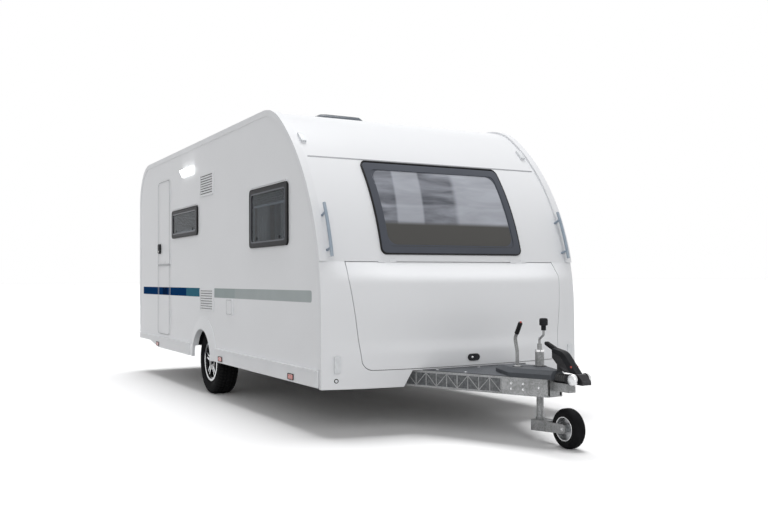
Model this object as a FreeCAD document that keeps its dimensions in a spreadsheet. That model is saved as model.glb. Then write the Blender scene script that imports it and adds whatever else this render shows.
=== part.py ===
"""A single-axle travel caravan, built as an assembly of separate sub-parts.

Millimetres. +X points forward to the coupling, +Y to the caravan's left, +Z up. The origin is on the
ground, in the middle of the overall length and width. SIZES holds the driving dimensions, and PLACES
what is worked out from them.
"""
import FreeCAD
import Part
import math
import os
import re
from FreeCAD import Placement, Rotation, Vector

SIZES = {
    # whole body and its panels
    "body_wide": 2290, "body_long": 5245, "tongue_reach": 1400, "rear_proud": 35, "roof_high": 2455,
    "floor_over_hub": 136, "panel_thick": 30, "floor_thick": 45, "locker_bow": 120,
    "front_sweep_low": 850, "front_sweep_share": 1.15265, "brow_share": 0.37383,
    "tail_bend": 420, "sill_bend": 110,
    "roof_joint_drop": 425, "nose_high": 1231,
    # gaps: seated faces, running fits, moving panels, and the overrun of a cut
    "seat_gap": 0.3, "running_gap": 0.05, "moving_gap": 5, "cut_over": 20,
    # road wheels
    "axle_share": 0.51478, "tyre_radius": 314, "tyre_wide": 195, "tyre_inset": 60, "rim_radius": 178,
    "tread_wide": 150, "shoulder_share": 0.17647, "bead_wide": 150,  "flange_radius": 194, "flange_thick": 8,
    "barrel_thick": 7, "hub_radius": 62, "hub_cap_radius": 31, "spoke_thick": 26, "spoke_dish": 22,
    "spoke_count": 5,
    "spoke_root": 44, "spoke_tip": 62, "spoke_slot": 8, "spoke_slot_end": 26, "spoke_slot_start": 92,
    "spoke_gap": 20,
    "drum_radius": 118, "drum_thick": 55, "rim_edge_inset": 14,
    # axle and trailing arms
    "axle_tube_radius": 45, "axle_tube_ahead": 160, "trail_arm_in": 100, "saddle_long": 130,
    "arm_thick": 34, "arm_radius": 50, "backplate_thick": 6, "stub_radius": 20, "stub_long": 150,
    # chassis frame
    "rail_in": 525, "rail_wide": 50, "rail_web": 5, "frame_high": 115, "rail_rear_in": 165,
    "frame_joint_in": 240, "cross_high": 40, "cross_long": 60, "cross_in": 245,
    # drawbar arms and head plates
    "arm_end_in": 300, "arm_end_half": 62, "arm_joint_out": 30, "drawbar_web": 6, "drawbar_flange": 45,
    "head_back_in": 650,
    # wheel housings
    "housing_room": 41, "housing_clear": 62, "housing_corner": 180, "housing_thick": 8,
    "housing_deep": 265,
    # wheel arch trims and side skirts
    "skirt_drop": 105, "arch_inner": 282, "arch_outer": 402, "arch_lip": 18, "arch_proud": 26,
    "arch_edge": 4, "skirt_over": 18, "skirt_proud": 13, "skirt_lip": 12,
    "skirt_lip_proud": 20, "skirt_front_in": 40, "skirt_tail_in": 50, "skirt_tail_drop": 45,
    "skirt_step_in": 545, "skirt_rise": 390, "skirt_arch_gap": 6,
    # edge rails along the joint of the roof and the side walls
    "edge_proud": 16, "edge_wide": 56, "edge_flange": 35, "edge_flange_thick": 4, 
    
    # nose moulding: how far its middle stands ahead of the side walls at each height
    "band_over": 15, "ledge_over": 125, "ledge_thick": 65,
    "belly_share": 0.41, "shoulder_drop_high": 121, "nose_low_reach": 150, "band_low_reach": 188,
    "ledge_reach": 194, "ledge_top_reach": 168, "belly_reach": 172, "shoulder_reach": 152,
    "nose_blend": 32, "nose_thick": 30, "notch_gap": 2, "notch_clear": 29, "notch_flare": 52,
    # gas locker hatch
    "hatch_top_in": 206, "hatch_wide_in": 194, "hatch_low_in": 275, "hatch_bend": 80,
    "latch_wide": 100, "latch_high_size": 50, "latch_thick": 12, "latch_over": 59,
    # hinges: pin, knuckles and leaves
    "pin_radius": 3, "knuckle_radius": 5, "knuckle_long": 50, "knuckle_gap": 0.5, "knuckle_room": 2,
    "hinge_proud": 6,
    "leaf_long": 16, "hatch_hinge_y": 600, "hatch_hinge_out": 4,
    # gas locker
    "bulkhead_back": 440, "bulkhead_thick": 15, "shelf_thick": 20,
    # entrance door, on the right side
    "door_rear_in": 873, "door_wide": 475, "door_step": 1, "door_head": 246, "door_bend": 60,
    "handle_in": 68, "handle_z": 1455, "handle_wide": 75,
    "handle_high_size": 110, "handle_thick": 22,
    # cassette door, on the left side
    "cassette_in": 160, "cassette_wide": 380, "cassette_over": 65, "cassette_high": 300,
    "cassette_bend": 30, "cassette_deep": 420, "lock_radius": 18, "lock_thick": 8,
    # side windows: front window of each side, small kitchen window, rear window of the left side
    "window_in": 1385, "window_wide": 805, "window_low": 1368, "window_high": 477,
    "kitchen_gap": 125, "kitchen_vent_gap": 71, "kitchen_low": 1552, "kitchen_high": 286,
    "bed_window_in": 305, "bed_window_wide": 900,
    "window_bend": 34, "window_border": 46, "window_proud": 16, "window_lap": 14, "pane_thick": 5,
    "pane_inset": 5,
    # front window
    "front_window_in": 511, "front_low": 1288, "front_window_drop": 455, "front_bend": 40, "front_border": 56,
    # rear window
    "rear_window_in": 665, "rear_window_low": 1400, "rear_window_drop": 555,
    # refrigerator vents
    "vent_behind": 95, "vent_wide": 410, "vent_high_size": 218, "vent_low_z": 800, "vent_top_drop": 544,
    "vent_thick": 9, "vent_border": 18, "vent_slat": 10, "vent_bend": 12, "louvre_count": 8,
    # socket flap, awning lamp, marker lamps
    "flap_ahead": 712, "flap_wide": 148, "flap_low": 787, "flap_high": 145, "flap_thick": 14,
    "flap_bend": 14, "awning_ahead": 388, "awning_wide": 379, "awning_drop": 285, "awning_high": 70,
    "awning_proud": 42, "awning_lip": 14, "marker_long": 100, "marker_high": 40, "marker_thick": 6,
    "marker_z": 362, "marker_rear_in": 849, "marker_mid_ahead": 514, "marker_front_in": 554,
    "clearance_long": 70, "clearance_wide": 44, "clearance_thick": 20, "clearance_drop": 278,
    "clearance_inset": 78,
    # nose reflectors
    "reflector_in": 95, "reflector_high": 120, "reflector_wide": 45,
    "reflector_thick": 10,
    # grab handles
    "grab_inset": 72, "grab_radius": 12, "grab_off": 70, "grab_low_z": 1250, "grab_top_z": 1620,
    "post_radius": 9, "post_inset": 60, "rear_grab_low": 980, "rear_grab_top": 1330,
    "rear_grab_off": 42,
    # tail moulding and rear lamps
    "tail_moulding_drop": 45, "tail_moulding_over": 350, "tail_moulding_inset": 6,
    "tail_moulding_bend": 90, "lamp_in": 385, "lamp_wide": 290, "lamp_over": 110, "lamp_high": 120,
    "lamp_bend": 24, "lamp_proud": 6, "lamp_depth": 30, "brake_lamp_wide": 260,
    "brake_lamp_high": 28, 
    
    # roof lights
    "light_ahead": 300, "light_long": 700, "light_y": -375, "light_wide": 512, "light_bend": 60,
    "light_frame": 44, "light_frame_high": 40, "dome_high": 80, "dome_taper": 20,
    "small_light_in": 705, "small_light_long": 400, "small_light_y": 160, "small_light_wide": 400,
    # drawbar cover
    "cover_thick": 5, "cover_ahead": 185, "cover_edge_in": 23, "cover_hump_in": 760,
    "cover_hump_high": 42, "cover_front_in": 270, "cover_front_half": 80, "cover_taper": 25,
    "cover_hump_edge_in": 49, "cover_clear": 6,
    # overrun unit, bellows and coupling head
    "overrun_back_in": 460, "overrun_half": 40, 
    "stub_tube_in": 135, "stub_tube_half": 27, "stub_tube_over": 45, "stub_tube_drop": 16,
    "rod_over": 14, "rod_radius": 20, "rod_back_in": 330, "rod_front_in": 160, "bellows_back_in": 290,
    "bellows_front_in": 175, "bellows_radius": 30, "bellows_fold": 5, "bellows_folds": 6,
    "rod_block_half": 30, "ball_in": 75, "ball_radius": 25, "ball_gap": 0.1, "head_half": 34,
    "head_drop": 10, "head_over": 55, "head_neck_half": 30, "knob_radius": 28, "knob_thick": 20,
    "knob_post_radius": 14, "knob_post_long": 14, "knob_over": 15,
    # stabiliser handle
    "handle_half": 26, "handle_root_in": 45, "handle_bar_thick": 30,
    "handle_tip_in": 375, "handle_tip_over": 240, "handle_arch_in": 170, "handle_arch_over": 190,
   
    # handbrake lever
    "lever_in": 635, "lever_y": -50, "lever_base_over": 20, "lever_bend_over": 190, "lever_back_in": 650,
    "lever_top_in": 585, "lever_top_over": 352, "lever_radius": 10, 
    "lever_bend": 40, "lever_foot_radius": 26, "lever_foot_high": 8,
    # jockey wheel
    "jockey_in": 553, "jockey_y": 85, "outer_tube_radius": 30, "inner_tube_radius": 24,
    "outer_tube_in": 3, "outer_tube_over": 170, "collar_radius": 40, "collar_high": 24,
    "neck_radius": 15.5, "neck_high": 40, "inner_tube_in": 105, "king_pin_radius": 15,
    "king_pin_low": 84, "socket_radius": 30, "socket_low": 80, "socket_top": 165,
    "fork_reach": 283, "fork_gap": 6, "fork_thick": 5, "fork_back": 34, "fork_low": 78,
    "fork_top": 152, "fork_end_radius": 30, "fork_web_front": 110, "fork_web_thick": 8,
    "jockey_radius": 130, "jockey_wide": 85, "jockey_rim_radius": 78, "jockey_tyre_bend": 30,
    "jockey_bolt_radius": 8, "jockey_hub_radius": 24, "jockey_disc": 8, "jockey_barrel": 5,
    "crank_radius": 8, "crank_bend_over": 30, "crank_reach": 44, "crank_top_over": 102, "crank_bend": 12,
    "crank_knob_radius": 26, "crank_knob_over": 176,
    # corner steadies
    "steady_rear_in": 545, "steady_front_in": 520, "steady_in": 295, "steady_drop": 25,
    "steady_long": 420, "steady_wide": 56, "steady_root_high": 44, "steady_tip_high": 24,
    "steady_wall": 4, "steady_pin_radius": 8, "steady_lug_thick": 6, "steady_lug_radius": 20,
    "steady_foot_radius": 48, "steady_foot_thick": 6,
    # furniture
    "bench_long": 780, "bench_deep": 560, "bench_high": 400, "cushion_thick": 120,
    "back_thick": 110, "back_high": 350, "table_behind": 860, "table_long": 700, "table_half": 400,
    "table_high": 730, "table_thick": 28, "table_leg_radius": 38, "furniture_deep": 560,
    "kitchen_unit_gap": 77, "fridge_back_gap": 10, "kitchen_unit_high": 900,
    "fridge_front_gap": 25, "cupboard_gap": 130, "washroom_gap": 25, "washroom_long": 580,
    "bed_long": 760, "bed_base_high": 380, "bed_board_thick": 20, "mattress_thick": 150, "furniture_gap": 2,
    
}

PLACES = {
    # ends, axle and overall outline
    "rear_x": "rear_proud - (body_long + tongue_reach + rear_proud) / 2",
    "front_x": "rear_x + body_long",
    "nose_x": "front_x + tongue_reach",
    "axle_x": "front_x - axle_share * body_long",
    "bulkhead_x": "front_x - bulkhead_back",
    "cabin_rear_x": "rear_x + panel_thick",
    "side_y": "body_wide / 2",
    "inner_y": "side_y - panel_thick",
    "wall_low": "tyre_radius + floor_over_hub",
    "floor_top": "wall_low + floor_thick",
    "rail_low": "wall_low - frame_high",
    "front_sweep": "front_sweep_share * (roof_high - front_sweep_low)",
    "brow_bend": "brow_share * (roof_high - front_sweep_low)",
    "sweep_x": "front_x - front_sweep",
    "brow_z": "roof_high - brow_bend",
    "brow_x": "sweep_x + sqrt((front_sweep - brow_bend)^2 - (brow_z - front_sweep_low)^2)",
    "tail_x": "rear_x + tail_bend",
    "tail_z": "roof_high - tail_bend",
    "roof_joint_high": "roof_high - roof_joint_drop",
    # wheels and housings
    "tyre_outer_y": "side_y - tyre_inset",
    "tyre_inner_y": "tyre_outer_y - tyre_wide",
    "shoulder_drop": "shoulder_share * (tyre_radius - rim_radius)",
    "axle_tube_half": "tyre_inner_y - trail_arm_in",
    "axle_tube_x": "axle_x + axle_tube_ahead",
    "axle_tube_z": "rail_low - axle_tube_radius",
    "housing_half": "tyre_radius + housing_room",
    "housing_high": "2 * tyre_radius + housing_clear",
    # arch trims, skirts and edge rails
    "skirt_low": "wall_low - skirt_drop",
    "arch_high": "skirt_low",
    "skirt_top": "wall_low + skirt_over",
    "skirt_front_x": "front_x - skirt_front_in",
    "skirt_tail_x": "rear_x + skirt_tail_in",
    "skirt_step_x": "rear_x + skirt_step_in",
    "skirt_tail_low": "wall_low - skirt_tail_drop",
    "edge_low": "rail_low",
    "edge_tail_low": "wall_low + sill_bend",
    # nose and hatch
    "nose_low": "rail_low",
    "band_low_high": "wall_low + band_over",
    "ledge_high": "band_low_high + ledge_over",
    "ledge_top_high": "ledge_high + ledge_thick",
    "shoulder_high": "nose_high - shoulder_drop_high",
    "belly_high": "ledge_top_high + belly_share * (shoulder_high - ledge_top_high)",
    "hatch_low": "band_low_high",
    "hatch_top_half": "side_y - hatch_top_in",
    "hatch_wide_half": "side_y - hatch_wide_in",
    "hatch_low_half": "side_y - hatch_low_in",
    "latch_z": "band_low_high + latch_over",
    "reflector_y": "side_y - reflector_in",
    "reflector_low": "wall_low",
    # chassis frame and drawbar
    "rail_half": "side_y - rail_in",
    "cross_half": "side_y - cross_in",
    "steady_y": "side_y - steady_in",
    "steady_z": "wall_low - cross_high - steady_drop",
    "steady_rear_x": "rear_x + steady_rear_in",
    "steady_front_x": "front_x - steady_front_in",
    "frame_joint_x": "front_x - frame_joint_in",
    "arm_end_x": "nose_x - arm_end_in",
    "head_back_x": "nose_x - head_back_in",
    "arm_joint_half": "rail_half + arm_joint_out",
    "arm_slope": "(arm_joint_half - arm_end_half) / (arm_end_x - frame_joint_x)",
    "notch_high": "wall_low + notch_gap",
    "notch_half": "arm_end_half + arm_slope * (arm_end_x - front_x - nose_low_reach) + notch_clear",
    "notch_low_half": "notch_half + notch_flare",
    # drawbar cover, overrun unit, coupling and levers
    "cover_back_x": "front_x + cover_ahead",
    "cover_hump_x": "nose_x - cover_hump_in",
    "cover_front_x": "nose_x - cover_front_in",
    "cover_back_half": "arm_end_half + arm_slope * (arm_end_x - cover_back_x) - cover_edge_in",
    "cover_hump_back_half": "arm_end_half + arm_slope * (arm_end_x - cover_hump_x) - cover_hump_edge_in",
    "overrun_back_x": "nose_x - overrun_back_in",
    "stub_tube_front_x": "nose_x - stub_tube_in",
    "stub_tube_low": "rail_low + stub_tube_over",
    "stub_tube_top": "wall_low - stub_tube_drop",
    "rod_back_x": "nose_x - rod_back_in",
    "rod_front_x": "nose_x - rod_front_in",
    "rod_z": "wall_low + rod_over",
    "bellows_back_x": "nose_x - bellows_back_in",
    "bellows_front_x": "nose_x - bellows_front_in",
    "ball_x": "nose_x - ball_in",
    "head_low": "wall_low - head_drop",
    "head_top": "wall_low + head_over",
    "knob_z": "wall_low + knob_over",
    "handle_root_x": "nose_x - handle_root_in",
    "handle_tip_x": "nose_x - handle_tip_in",
    "handle_arch_x": "nose_x - handle_arch_in",
    "handle_tip_z": "wall_low + handle_tip_over",
    "handle_arch_z": "wall_low + handle_arch_over",
    "lever_x": "nose_x - lever_in",
    "lever_back_x": "nose_x - lever_back_in",
    "lever_top_x": "nose_x - lever_top_in",
    "lever_base": "wall_low + lever_base_over",
    "lever_bend_z": "wall_low + lever_bend_over",
    "lever_top_z": "wall_low + lever_top_over",
    # jockey wheel
    "jockey_x": "nose_x - jockey_in",
    "jockey_wheel_x": "jockey_x + fork_reach",
    "collar_low": "wall_low",
    "outer_tube_low": "rail_low + outer_tube_in",
    "outer_tube_top": "wall_low + outer_tube_over",
    "inner_tube_top": "outer_tube_top - inner_tube_in",
    "neck_top": "outer_tube_top + neck_high",
    "crank_bend_z": "neck_top + crank_bend_over",
    "crank_top_z": "neck_top + crank_top_over",
    "crank_knob_top": "neck_top + crank_knob_over",
    # right side, from the tail forward
    "door_rear_x": "rear_x + door_rear_in",
    "door_front_x": "door_rear_x + door_wide",
    "door_low": "floor_top + door_step",
    "door_top": "roof_high - door_head",
    "handle_x": "door_rear_x + handle_in",
    "vent_x": "axle_x - vent_behind",
    "vent_top_z": "roof_high - vent_top_drop",
    "kitchen_x": "door_front_x + kitchen_gap",
    "kitchen_wide": "vent_x - kitchen_vent_gap - kitchen_x",
    "awning_x": "kitchen_x + awning_ahead",
    "awning_low": "roof_high - awning_drop",
    "flap_x": "axle_x + flap_ahead",
    "window_x": "front_x - window_in",
    # left side, front, rear and roof
    "bed_window_x": "rear_x + bed_window_in",
    "washroom_x": "axle_x - housing_half - washroom_gap - washroom_long",
    "cassette_x": "washroom_x + cassette_in",
    "cassette_low": "floor_top + cassette_over",
    "front_half": "side_y - front_window_in",
    "front_top": "roof_high - front_window_drop",
    "rear_window_half": "side_y - rear_window_in",
    "rear_window_top": "roof_high - rear_window_drop",
    "light_x": "axle_x + light_ahead",
    "small_light_x": "rear_x + small_light_in",
    "marker_rear_x": "rear_x + marker_rear_in",
    "marker_mid_x": "axle_x + marker_mid_ahead",
    "marker_front_x": "front_x - marker_front_in",
    "clearance_z": "roof_high - clearance_drop",
    "tail_moulding_low": "wall_low - tail_moulding_drop",
    "tail_moulding_top": "wall_low + tail_moulding_over",
    "lamp_y": "side_y - lamp_in",
    "lamp_low": "wall_low + lamp_over",
    # furniture
    "cushion_z": "floor_top + bench_high",
    "table_x": "bulkhead_x - table_behind",
    "cupboard_high": "roof_high - floor_top - cupboard_gap",
    "kitchen_unit_x": "door_front_x + kitchen_unit_gap",
    "kitchen_unit_front_x": "axle_x - housing_half - fridge_back_gap",
    "fridge_front_x": "axle_x + housing_half + fridge_front_gap",
}

WORD = re.compile(r"[a-z][a-z_]*")
PLANES = {"XY": "XY_Plane", "XZ": "XZ_Plane", "YZ": "YZ_Plane"}

doc = FreeCAD.newDocument("travel_caravan")
nodes = {}


class Dims:
    """Reads the sheet's cells as plain numbers."""

    def __init__(self, sheet):
        self.sheet = sheet

    def __getattr__(self, name):
        return float(self.sheet.get(name))


def make_sheet():
    sheet = doc.addObject("Spreadsheet::Sheet", "dims")
    rows = [(name, str(value)) for name, value in SIZES.items()]
    rows += [(name, "=" + formula) for name, formula in PLACES.items()]
    for row, (name, text) in enumerate(rows, 1):
        sheet.set(f"A{row}", name)
        sheet.set(f"B{row}", text)
        sheet.setAlias(f"B{row}", name)
    doc.recompute()
    return Dims(sheet)


D = make_sheet()


def bind(thing, field, formula):
    """Ties one property to a formula of named sizes."""
    named = WORD.sub(lambda word: "dims." + word.group()
                     if word.group() in SIZES or word.group() in PLACES else word.group(), str(formula))
    thing.setExpression(field, named)


def place(thing, x="0", y="0", z="0"):
    for axis, formula in zip("xyz", (x, y, z)):
        bind(thing, f".Placement.Base.{axis}", formula)
    return thing


# Outlines: a path is a list of lines and arcs, and a loop is a closed path.

def point(x, y):
    return Vector(x, y, 0)


def line(start, end):
    return ("line", start, end)


def turn(centre, radius, angle):
    return centre + point(math.cos(angle), math.sin(angle)) * radius


def arc(centre, radius, start, end):
    """An arc between two angles, in radians."""
    return ("arc", turn(centre, radius, start), turn(centre, radius, (start + end) / 2),
            turn(centre, radius, end))


def circle(x, y, radius):
    return [("circle", point(x, y), radius)]


def backwards(path):
    return [(step[0],) + step[:0:-1] for step in reversed(path)]


def joined(*paths):
    """Joins paths end to start with straight lines, and closes the loop."""
    steps = []
    for path in paths:
        if steps and steps[-1][-1].distanceToPoint(path[0][1]) > D.running_gap:
            steps.append(line(steps[-1][-1], path[0][1]))
        steps += path
    if steps[-1][-1].distanceToPoint(steps[0][1]) > D.running_gap:
        steps.append(line(steps[-1][-1], steps[0][1]))
    return steps


def rounded_corner(before, corner, after, bend):
    """The arc that rounds one corner of a polygon."""
    back = (before - corner).normalize()
    ahead = (after - corner).normalize()
    half = back.getAngle(ahead) / 2
    inward = (back + ahead).normalize()
    middle = corner + inward * (bend / math.sin(half) - bend)
    reach = bend / math.tan(half)
    return ("arc", corner + back * reach, middle, corner + ahead * reach)


def bent(points, bends, closed):
    """A polygon or an open path whose corners are rounded where a bend is given."""
    points = [point(*spot) for spot in points]
    count = len(points)
    if not isinstance(bends, (list, tuple)):
        bends = [bends] * count
    if not closed:
        bends = [0] + list(bends[1:-1]) + [0]
    marks = []
    for index in range(count):
        if bends[index] > 0:
            marks.append(rounded_corner(points[index - 1], points[index],
                                        points[(index + 1) % count], bends[index]))
        else:
            marks.append(("corner", points[index], points[index]))
    steps = []
    for index, mark in enumerate(marks):
        if mark[0] == "arc":
            steps.append(mark)
        if index + 1 < count or closed:
            start, end = mark[-1], marks[(index + 1) % count][1]
            if start.distanceToPoint(end) > D.running_gap:
                steps.append(line(start, end))
    return steps


def polygon(points, bends=0):
    return bent(points, bends, True)


def rect(x, y, wide, high, bend=0):
    return polygon([(x, y), (x + wide, y), (x + wide, y + high), (x, y + high)], bend)


# Solids: each is an object of the document, bound to the sheet.

def sketched(body, name, plane, offset, loops):
    sketch = body.newObject("Sketcher::SketchObject", name + "_outline")
    flat = [o for o in body.Origin.OriginFeatures if o.Role == PLANES[plane]][0]
    sketch.AttachmentSupport = [(flat, "")]
    sketch.MapMode = "FlatFace"
    bind(sketch, ".AttachmentOffset.Base.z", offset)
    for loop in loops:
        for step in loop:
            if step[0] == "line":
                sketch.addGeometry(Part.LineSegment(step[1], step[2]), False)
            elif step[0] == "arc":
                sketch.addGeometry(Part.Arc(step[1], step[2], step[3]), False)
            else:
                sketch.addGeometry(Part.Circle(step[1], Vector(0, 0, 1), step[2]), False)
    return sketch


def prism(name, plane, low, deep, *loops, taper=0):
    """A pad of closed outlines. It starts at the coordinate low of the plane's axis and is deep long."""
    body = doc.addObject("PartDesign::Body", name)
    offset = f"-({low}) - ({deep})" if plane == "XZ" else low
    sketch = sketched(body, name, plane, offset, loops)
    pad = body.newObject("PartDesign::Pad", name + "_pad")
    pad.Profile = sketch
    bind(pad, "Length", deep)
    if taper:
        pad.TaperAngle = taper
    body.Tip = pad
    return body


def spun(name, loop, angle=360):
    """A solid of revolution about the Y axis, from an outline in the XY plane, before it is placed."""
    body = doc.addObject("PartDesign::Body", name)
    sketch = sketched(body, name, "XY", "0", [loop])
    round_about = body.newObject("PartDesign::Revolution", name + "_turned")
    round_about.Profile = sketch
    round_about.ReferenceAxis = (sketch, ["V_Axis"])
    round_about.Angle = angle
    body.Tip = round_about
    return body


def box(name, x, y, z, long, wide, high):
    solid = doc.addObject("Part::Box", name)
    for field, formula in (("Length", long), ("Width", wide), ("Height", high)):
        bind(solid, field, formula)
    return place(solid, x, y, z)


AXES = {"X": Rotation(Vector(0, 0, 1), Vector(1, 0, 0)), "Y": Rotation(Vector(0, 0, 1), Vector(0, 1, 0)),
        "Z": Rotation()}


def cylinder(name, axis, radius, high, x, y, z):
    solid = doc.addObject("Part::Cylinder", name)
    bind(solid, "Radius", radius)
    bind(solid, "Height", high)
    solid.Placement = Placement(Vector(), AXES[axis])
    return place(solid, x, y, z)


def ball(name, radius, x, y, z):
    solid = doc.addObject("Part::Sphere", name)
    bind(solid, "Radius", radius)
    return place(solid, x, y, z)


def fuse(name, *pieces):
    solid = doc.addObject("Part::MultiFuse", name)
    solid.Shapes = list(pieces)
    return solid


def cut(name, base, *tools):
    solid = doc.addObject("Part::Cut", name)
    solid.Base = base
    solid.Tool = tools[0] if len(tools) == 1 else fuse(name + "_tools", *tools)
    return solid


def common(name, first, second):
    solid = doc.addObject("Part::Common", name)
    solid.Base = first
    solid.Tool = second
    return solid


def mirror(name, source):
    """The same piece on the other side of the caravan."""
    solid = doc.addObject("Part::Mirroring", name)
    solid.Source = source
    solid.Normal = Vector(0, 1, 0)
    return solid


def group(name, *pieces):
    solid = doc.addObject("Part::Compound", name)
    solid.Links = list(pieces)
    return solid


def shaped(name, shape):
    solid = doc.addObject("Part::Feature", name)
    solid.Shape = shape
    return solid


def node(name, solid):
    """Marks a sub-part: its label names its file."""
    solid.Label = name
    nodes[name] = solid
    return solid


def piped(name, path, across, radius):
    """A round bar along a path of lines and arcs in the XZ plane at y = across."""
    edges = []
    for step in path:
        spots = [Vector(spot.x, across, spot.y) for spot in step[1:]]
        edges.append(Part.makeLine(*spots) if step[0] == "line" else Part.Arc(*spots).toShape())
    wire = Part.Wire(edges)
    start = edges[0].valueAt(edges[0].FirstParameter)
    ahead = edges[0].tangentAt(edges[0].FirstParameter)
    ring = Part.Wire([Part.makeCircle(radius, start, ahead)])
    return shaped(name, wire.makePipeShell([ring], True, False))


def hinge(name, axis, x, y, z):
    """Fixed knuckles with their pin, and the moving knuckle between them, about one axis."""
    half = D.knuckle_long / 2
    spot = {"X": x, "Y": y, "Z": z}

    def along(label, radius, start, long):
        places = dict(spot)
        places[axis] = f"{spot[axis]} + ({start})"
        return cylinder(name + label, axis, radius, long, places["X"], places["Y"], places["Z"])

    pin = along("_pin", "pin_radius", "-1.5 * knuckle_long", "3 * knuckle_long")
    low = along("_low", "knuckle_radius", "-1.5 * knuckle_long", "knuckle_long - knuckle_gap")
    high = along("_high", "knuckle_radius", "knuckle_long / 2 + knuckle_gap",
                 "knuckle_long - knuckle_gap")
    moving = along("_knuckle", "knuckle_radius", -half, 2 * half)
    bore = along("_bore", "pin_radius + running_gap", "-2 * knuckle_long", "4 * knuckle_long")
    room = "knuckle_radius + knuckle_room"
    pockets = [along("_pocket_low", room, "-1.5 * knuckle_long - knuckle_room",
                     "knuckle_long + knuckle_room"),
               along("_pocket_high", room, "knuckle_long / 2", "knuckle_long + knuckle_room")]
    return [pin, low, high], moving, bore, pockets


# Side outline of the body

def sweep_centre(shift=0):
    return point(D.sweep_x - shift, D.front_sweep_low)


def sweep_x_at(z, outward=0):
    """Where the front sweep lies at one height."""
    return D.sweep_x + math.sqrt((D.front_sweep + outward) ** 2 - (z - D.front_sweep_low) ** 2)


def sweep_angle(z, outward=0):
    return math.asin((z - D.front_sweep_low) / (D.front_sweep + outward))


def side_path(outward, front_low, tail_low):
    """The outline from the front over the roof to the tail, moved outward by a distance."""
    brow = point(D.brow_x, D.brow_z)
    tail = point(D.tail_x, D.tail_z)
    meet = math.atan2(D.brow_z - D.front_sweep_low, D.brow_x - D.sweep_x)
    path = []
    start = 0
    if front_low < D.front_sweep_low:
        front = D.front_x + outward
        path.append(line(point(front, front_low), point(front, D.front_sweep_low)))
    else:
        start = sweep_angle(front_low, outward)
    path.append(arc(sweep_centre(), D.front_sweep + outward, start, meet))
    path.append(arc(brow, D.brow_bend + outward, meet, math.pi / 2))
    path.append(line(path[-1][-1], turn(tail, D.tail_bend + outward, math.pi / 2)))
    path.append(arc(tail, D.tail_bend + outward, math.pi / 2, math.pi))
    if tail_low < D.tail_z:
        path.append(line(path[-1][-1], point(D.rear_x - outward, tail_low)))
    return path


def band(outward, inward, front_low, tail_low):
    """A closed band between two offsets of the side outline."""
    return joined(side_path(outward, front_low, tail_low),
                  backwards(side_path(inward, front_low, tail_low)))


def sweep_patch(outward, inward, low, high):
    """A short piece of the front sweep, with ends square to it."""
    outer = D.front_sweep + outward
    inner = D.front_sweep + inward
    start, end = sweep_angle(low), sweep_angle(high)
    return joined([arc(sweep_centre(), outer, start, end)], [arc(sweep_centre(), inner, end, start)])


# Body shell

def wall_loop():
    """The side wall's edge: nose, front sweep, roof, tail, sill and wheel arch."""
    step_back = D.nose_thick + 2 * D.seat_gap
    nose_angle = sweep_angle(D.nose_high)
    shifted = sweep_centre(step_back)
    nose = [line(point(D.front_x - step_back, D.wall_low),
                 point(D.front_x - step_back, D.front_sweep_low)),
            arc(shifted, D.front_sweep, 0, nose_angle)]
    over = side_path(0, D.nose_high, D.tail_z)
    arch_half = math.sqrt(D.arch_inner ** 2 - (D.wall_low - D.arch_high) ** 2)
    rear = bent([(D.rear_x, D.tail_z), (D.rear_x, D.wall_low), (D.axle_x - arch_half, D.wall_low)],
                D.sill_bend, False)
    edge = math.atan2(D.wall_low - D.arch_high, arch_half)
    wheel_arch = [arc(point(D.axle_x, D.arch_high), D.arch_inner, math.pi - edge, edge)]
    return joined(nose, over, rear, wheel_arch)


def window_rect(x, z, wide, high, inset):
    """A window's outline, drawn in by a distance."""
    return rect(x + inset, z + inset, wide - 2 * inset, high - 2 * inset,
                max(D.window_bend - inset, D.window_bend / 2))


def right_windows():
    return [(D.window_x, D.window_low, D.window_wide, D.window_high),
            (D.kitchen_x, D.kitchen_low, D.kitchen_wide, D.kitchen_high)]


def left_windows():
    return [(D.window_x, D.window_low, D.window_wide, D.window_high),
            (D.bed_window_x, D.window_low, D.bed_window_wide, D.window_high)]


def door_rect(inset):
    return rect(D.door_rear_x + inset, D.door_low + inset, D.door_front_x - D.door_rear_x - 2 * inset,
                D.door_top - D.door_low - 2 * inset, D.door_bend - inset)


def cassette_rect(inset):
    return rect(D.cassette_x + inset, D.cassette_low + inset, D.cassette_wide - 2 * inset,
                D.cassette_high - 2 * inset, D.cassette_bend - inset)


def door_hinges():
    """The entrance door's hinges: low, middle and high on its front edge."""
    fixed, moving, bores = [], [], []
    shares = (0.12, 0.5, 0.88)
    for index, share in enumerate(shares):
        height = f"door_low + (door_top - door_low) * {share}"
        name = f"door_hinge_{index}"
        pins, knuckle, bore, _ = hinge(name, "Z", "door_front_x", "-side_y - hinge_proud", height)
        fixed += pins
        fixed.append(box(name + "_leaf", "door_front_x", "-side_y - hinge_proud",
                         f"{height} - 1.5 * knuckle_long", "leaf_long", "hinge_proud",
                         "knuckle_long - knuckle_gap"))
        fixed.append(box(name + "_leaf_high", "door_front_x", "-side_y - hinge_proud",
                         f"{height} + knuckle_long / 2 + knuckle_gap", "leaf_long", "hinge_proud",
                         "knuckle_long - knuckle_gap"))
        moving += [knuckle, box(name + "_arm", "door_front_x - leaf_long", "-side_y - hinge_proud",
                                f"{height} - knuckle_long / 2", "leaf_long", "hinge_proud",
                                "knuckle_long")]
        bores.append(bore)
    return fixed, moving, bores


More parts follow.
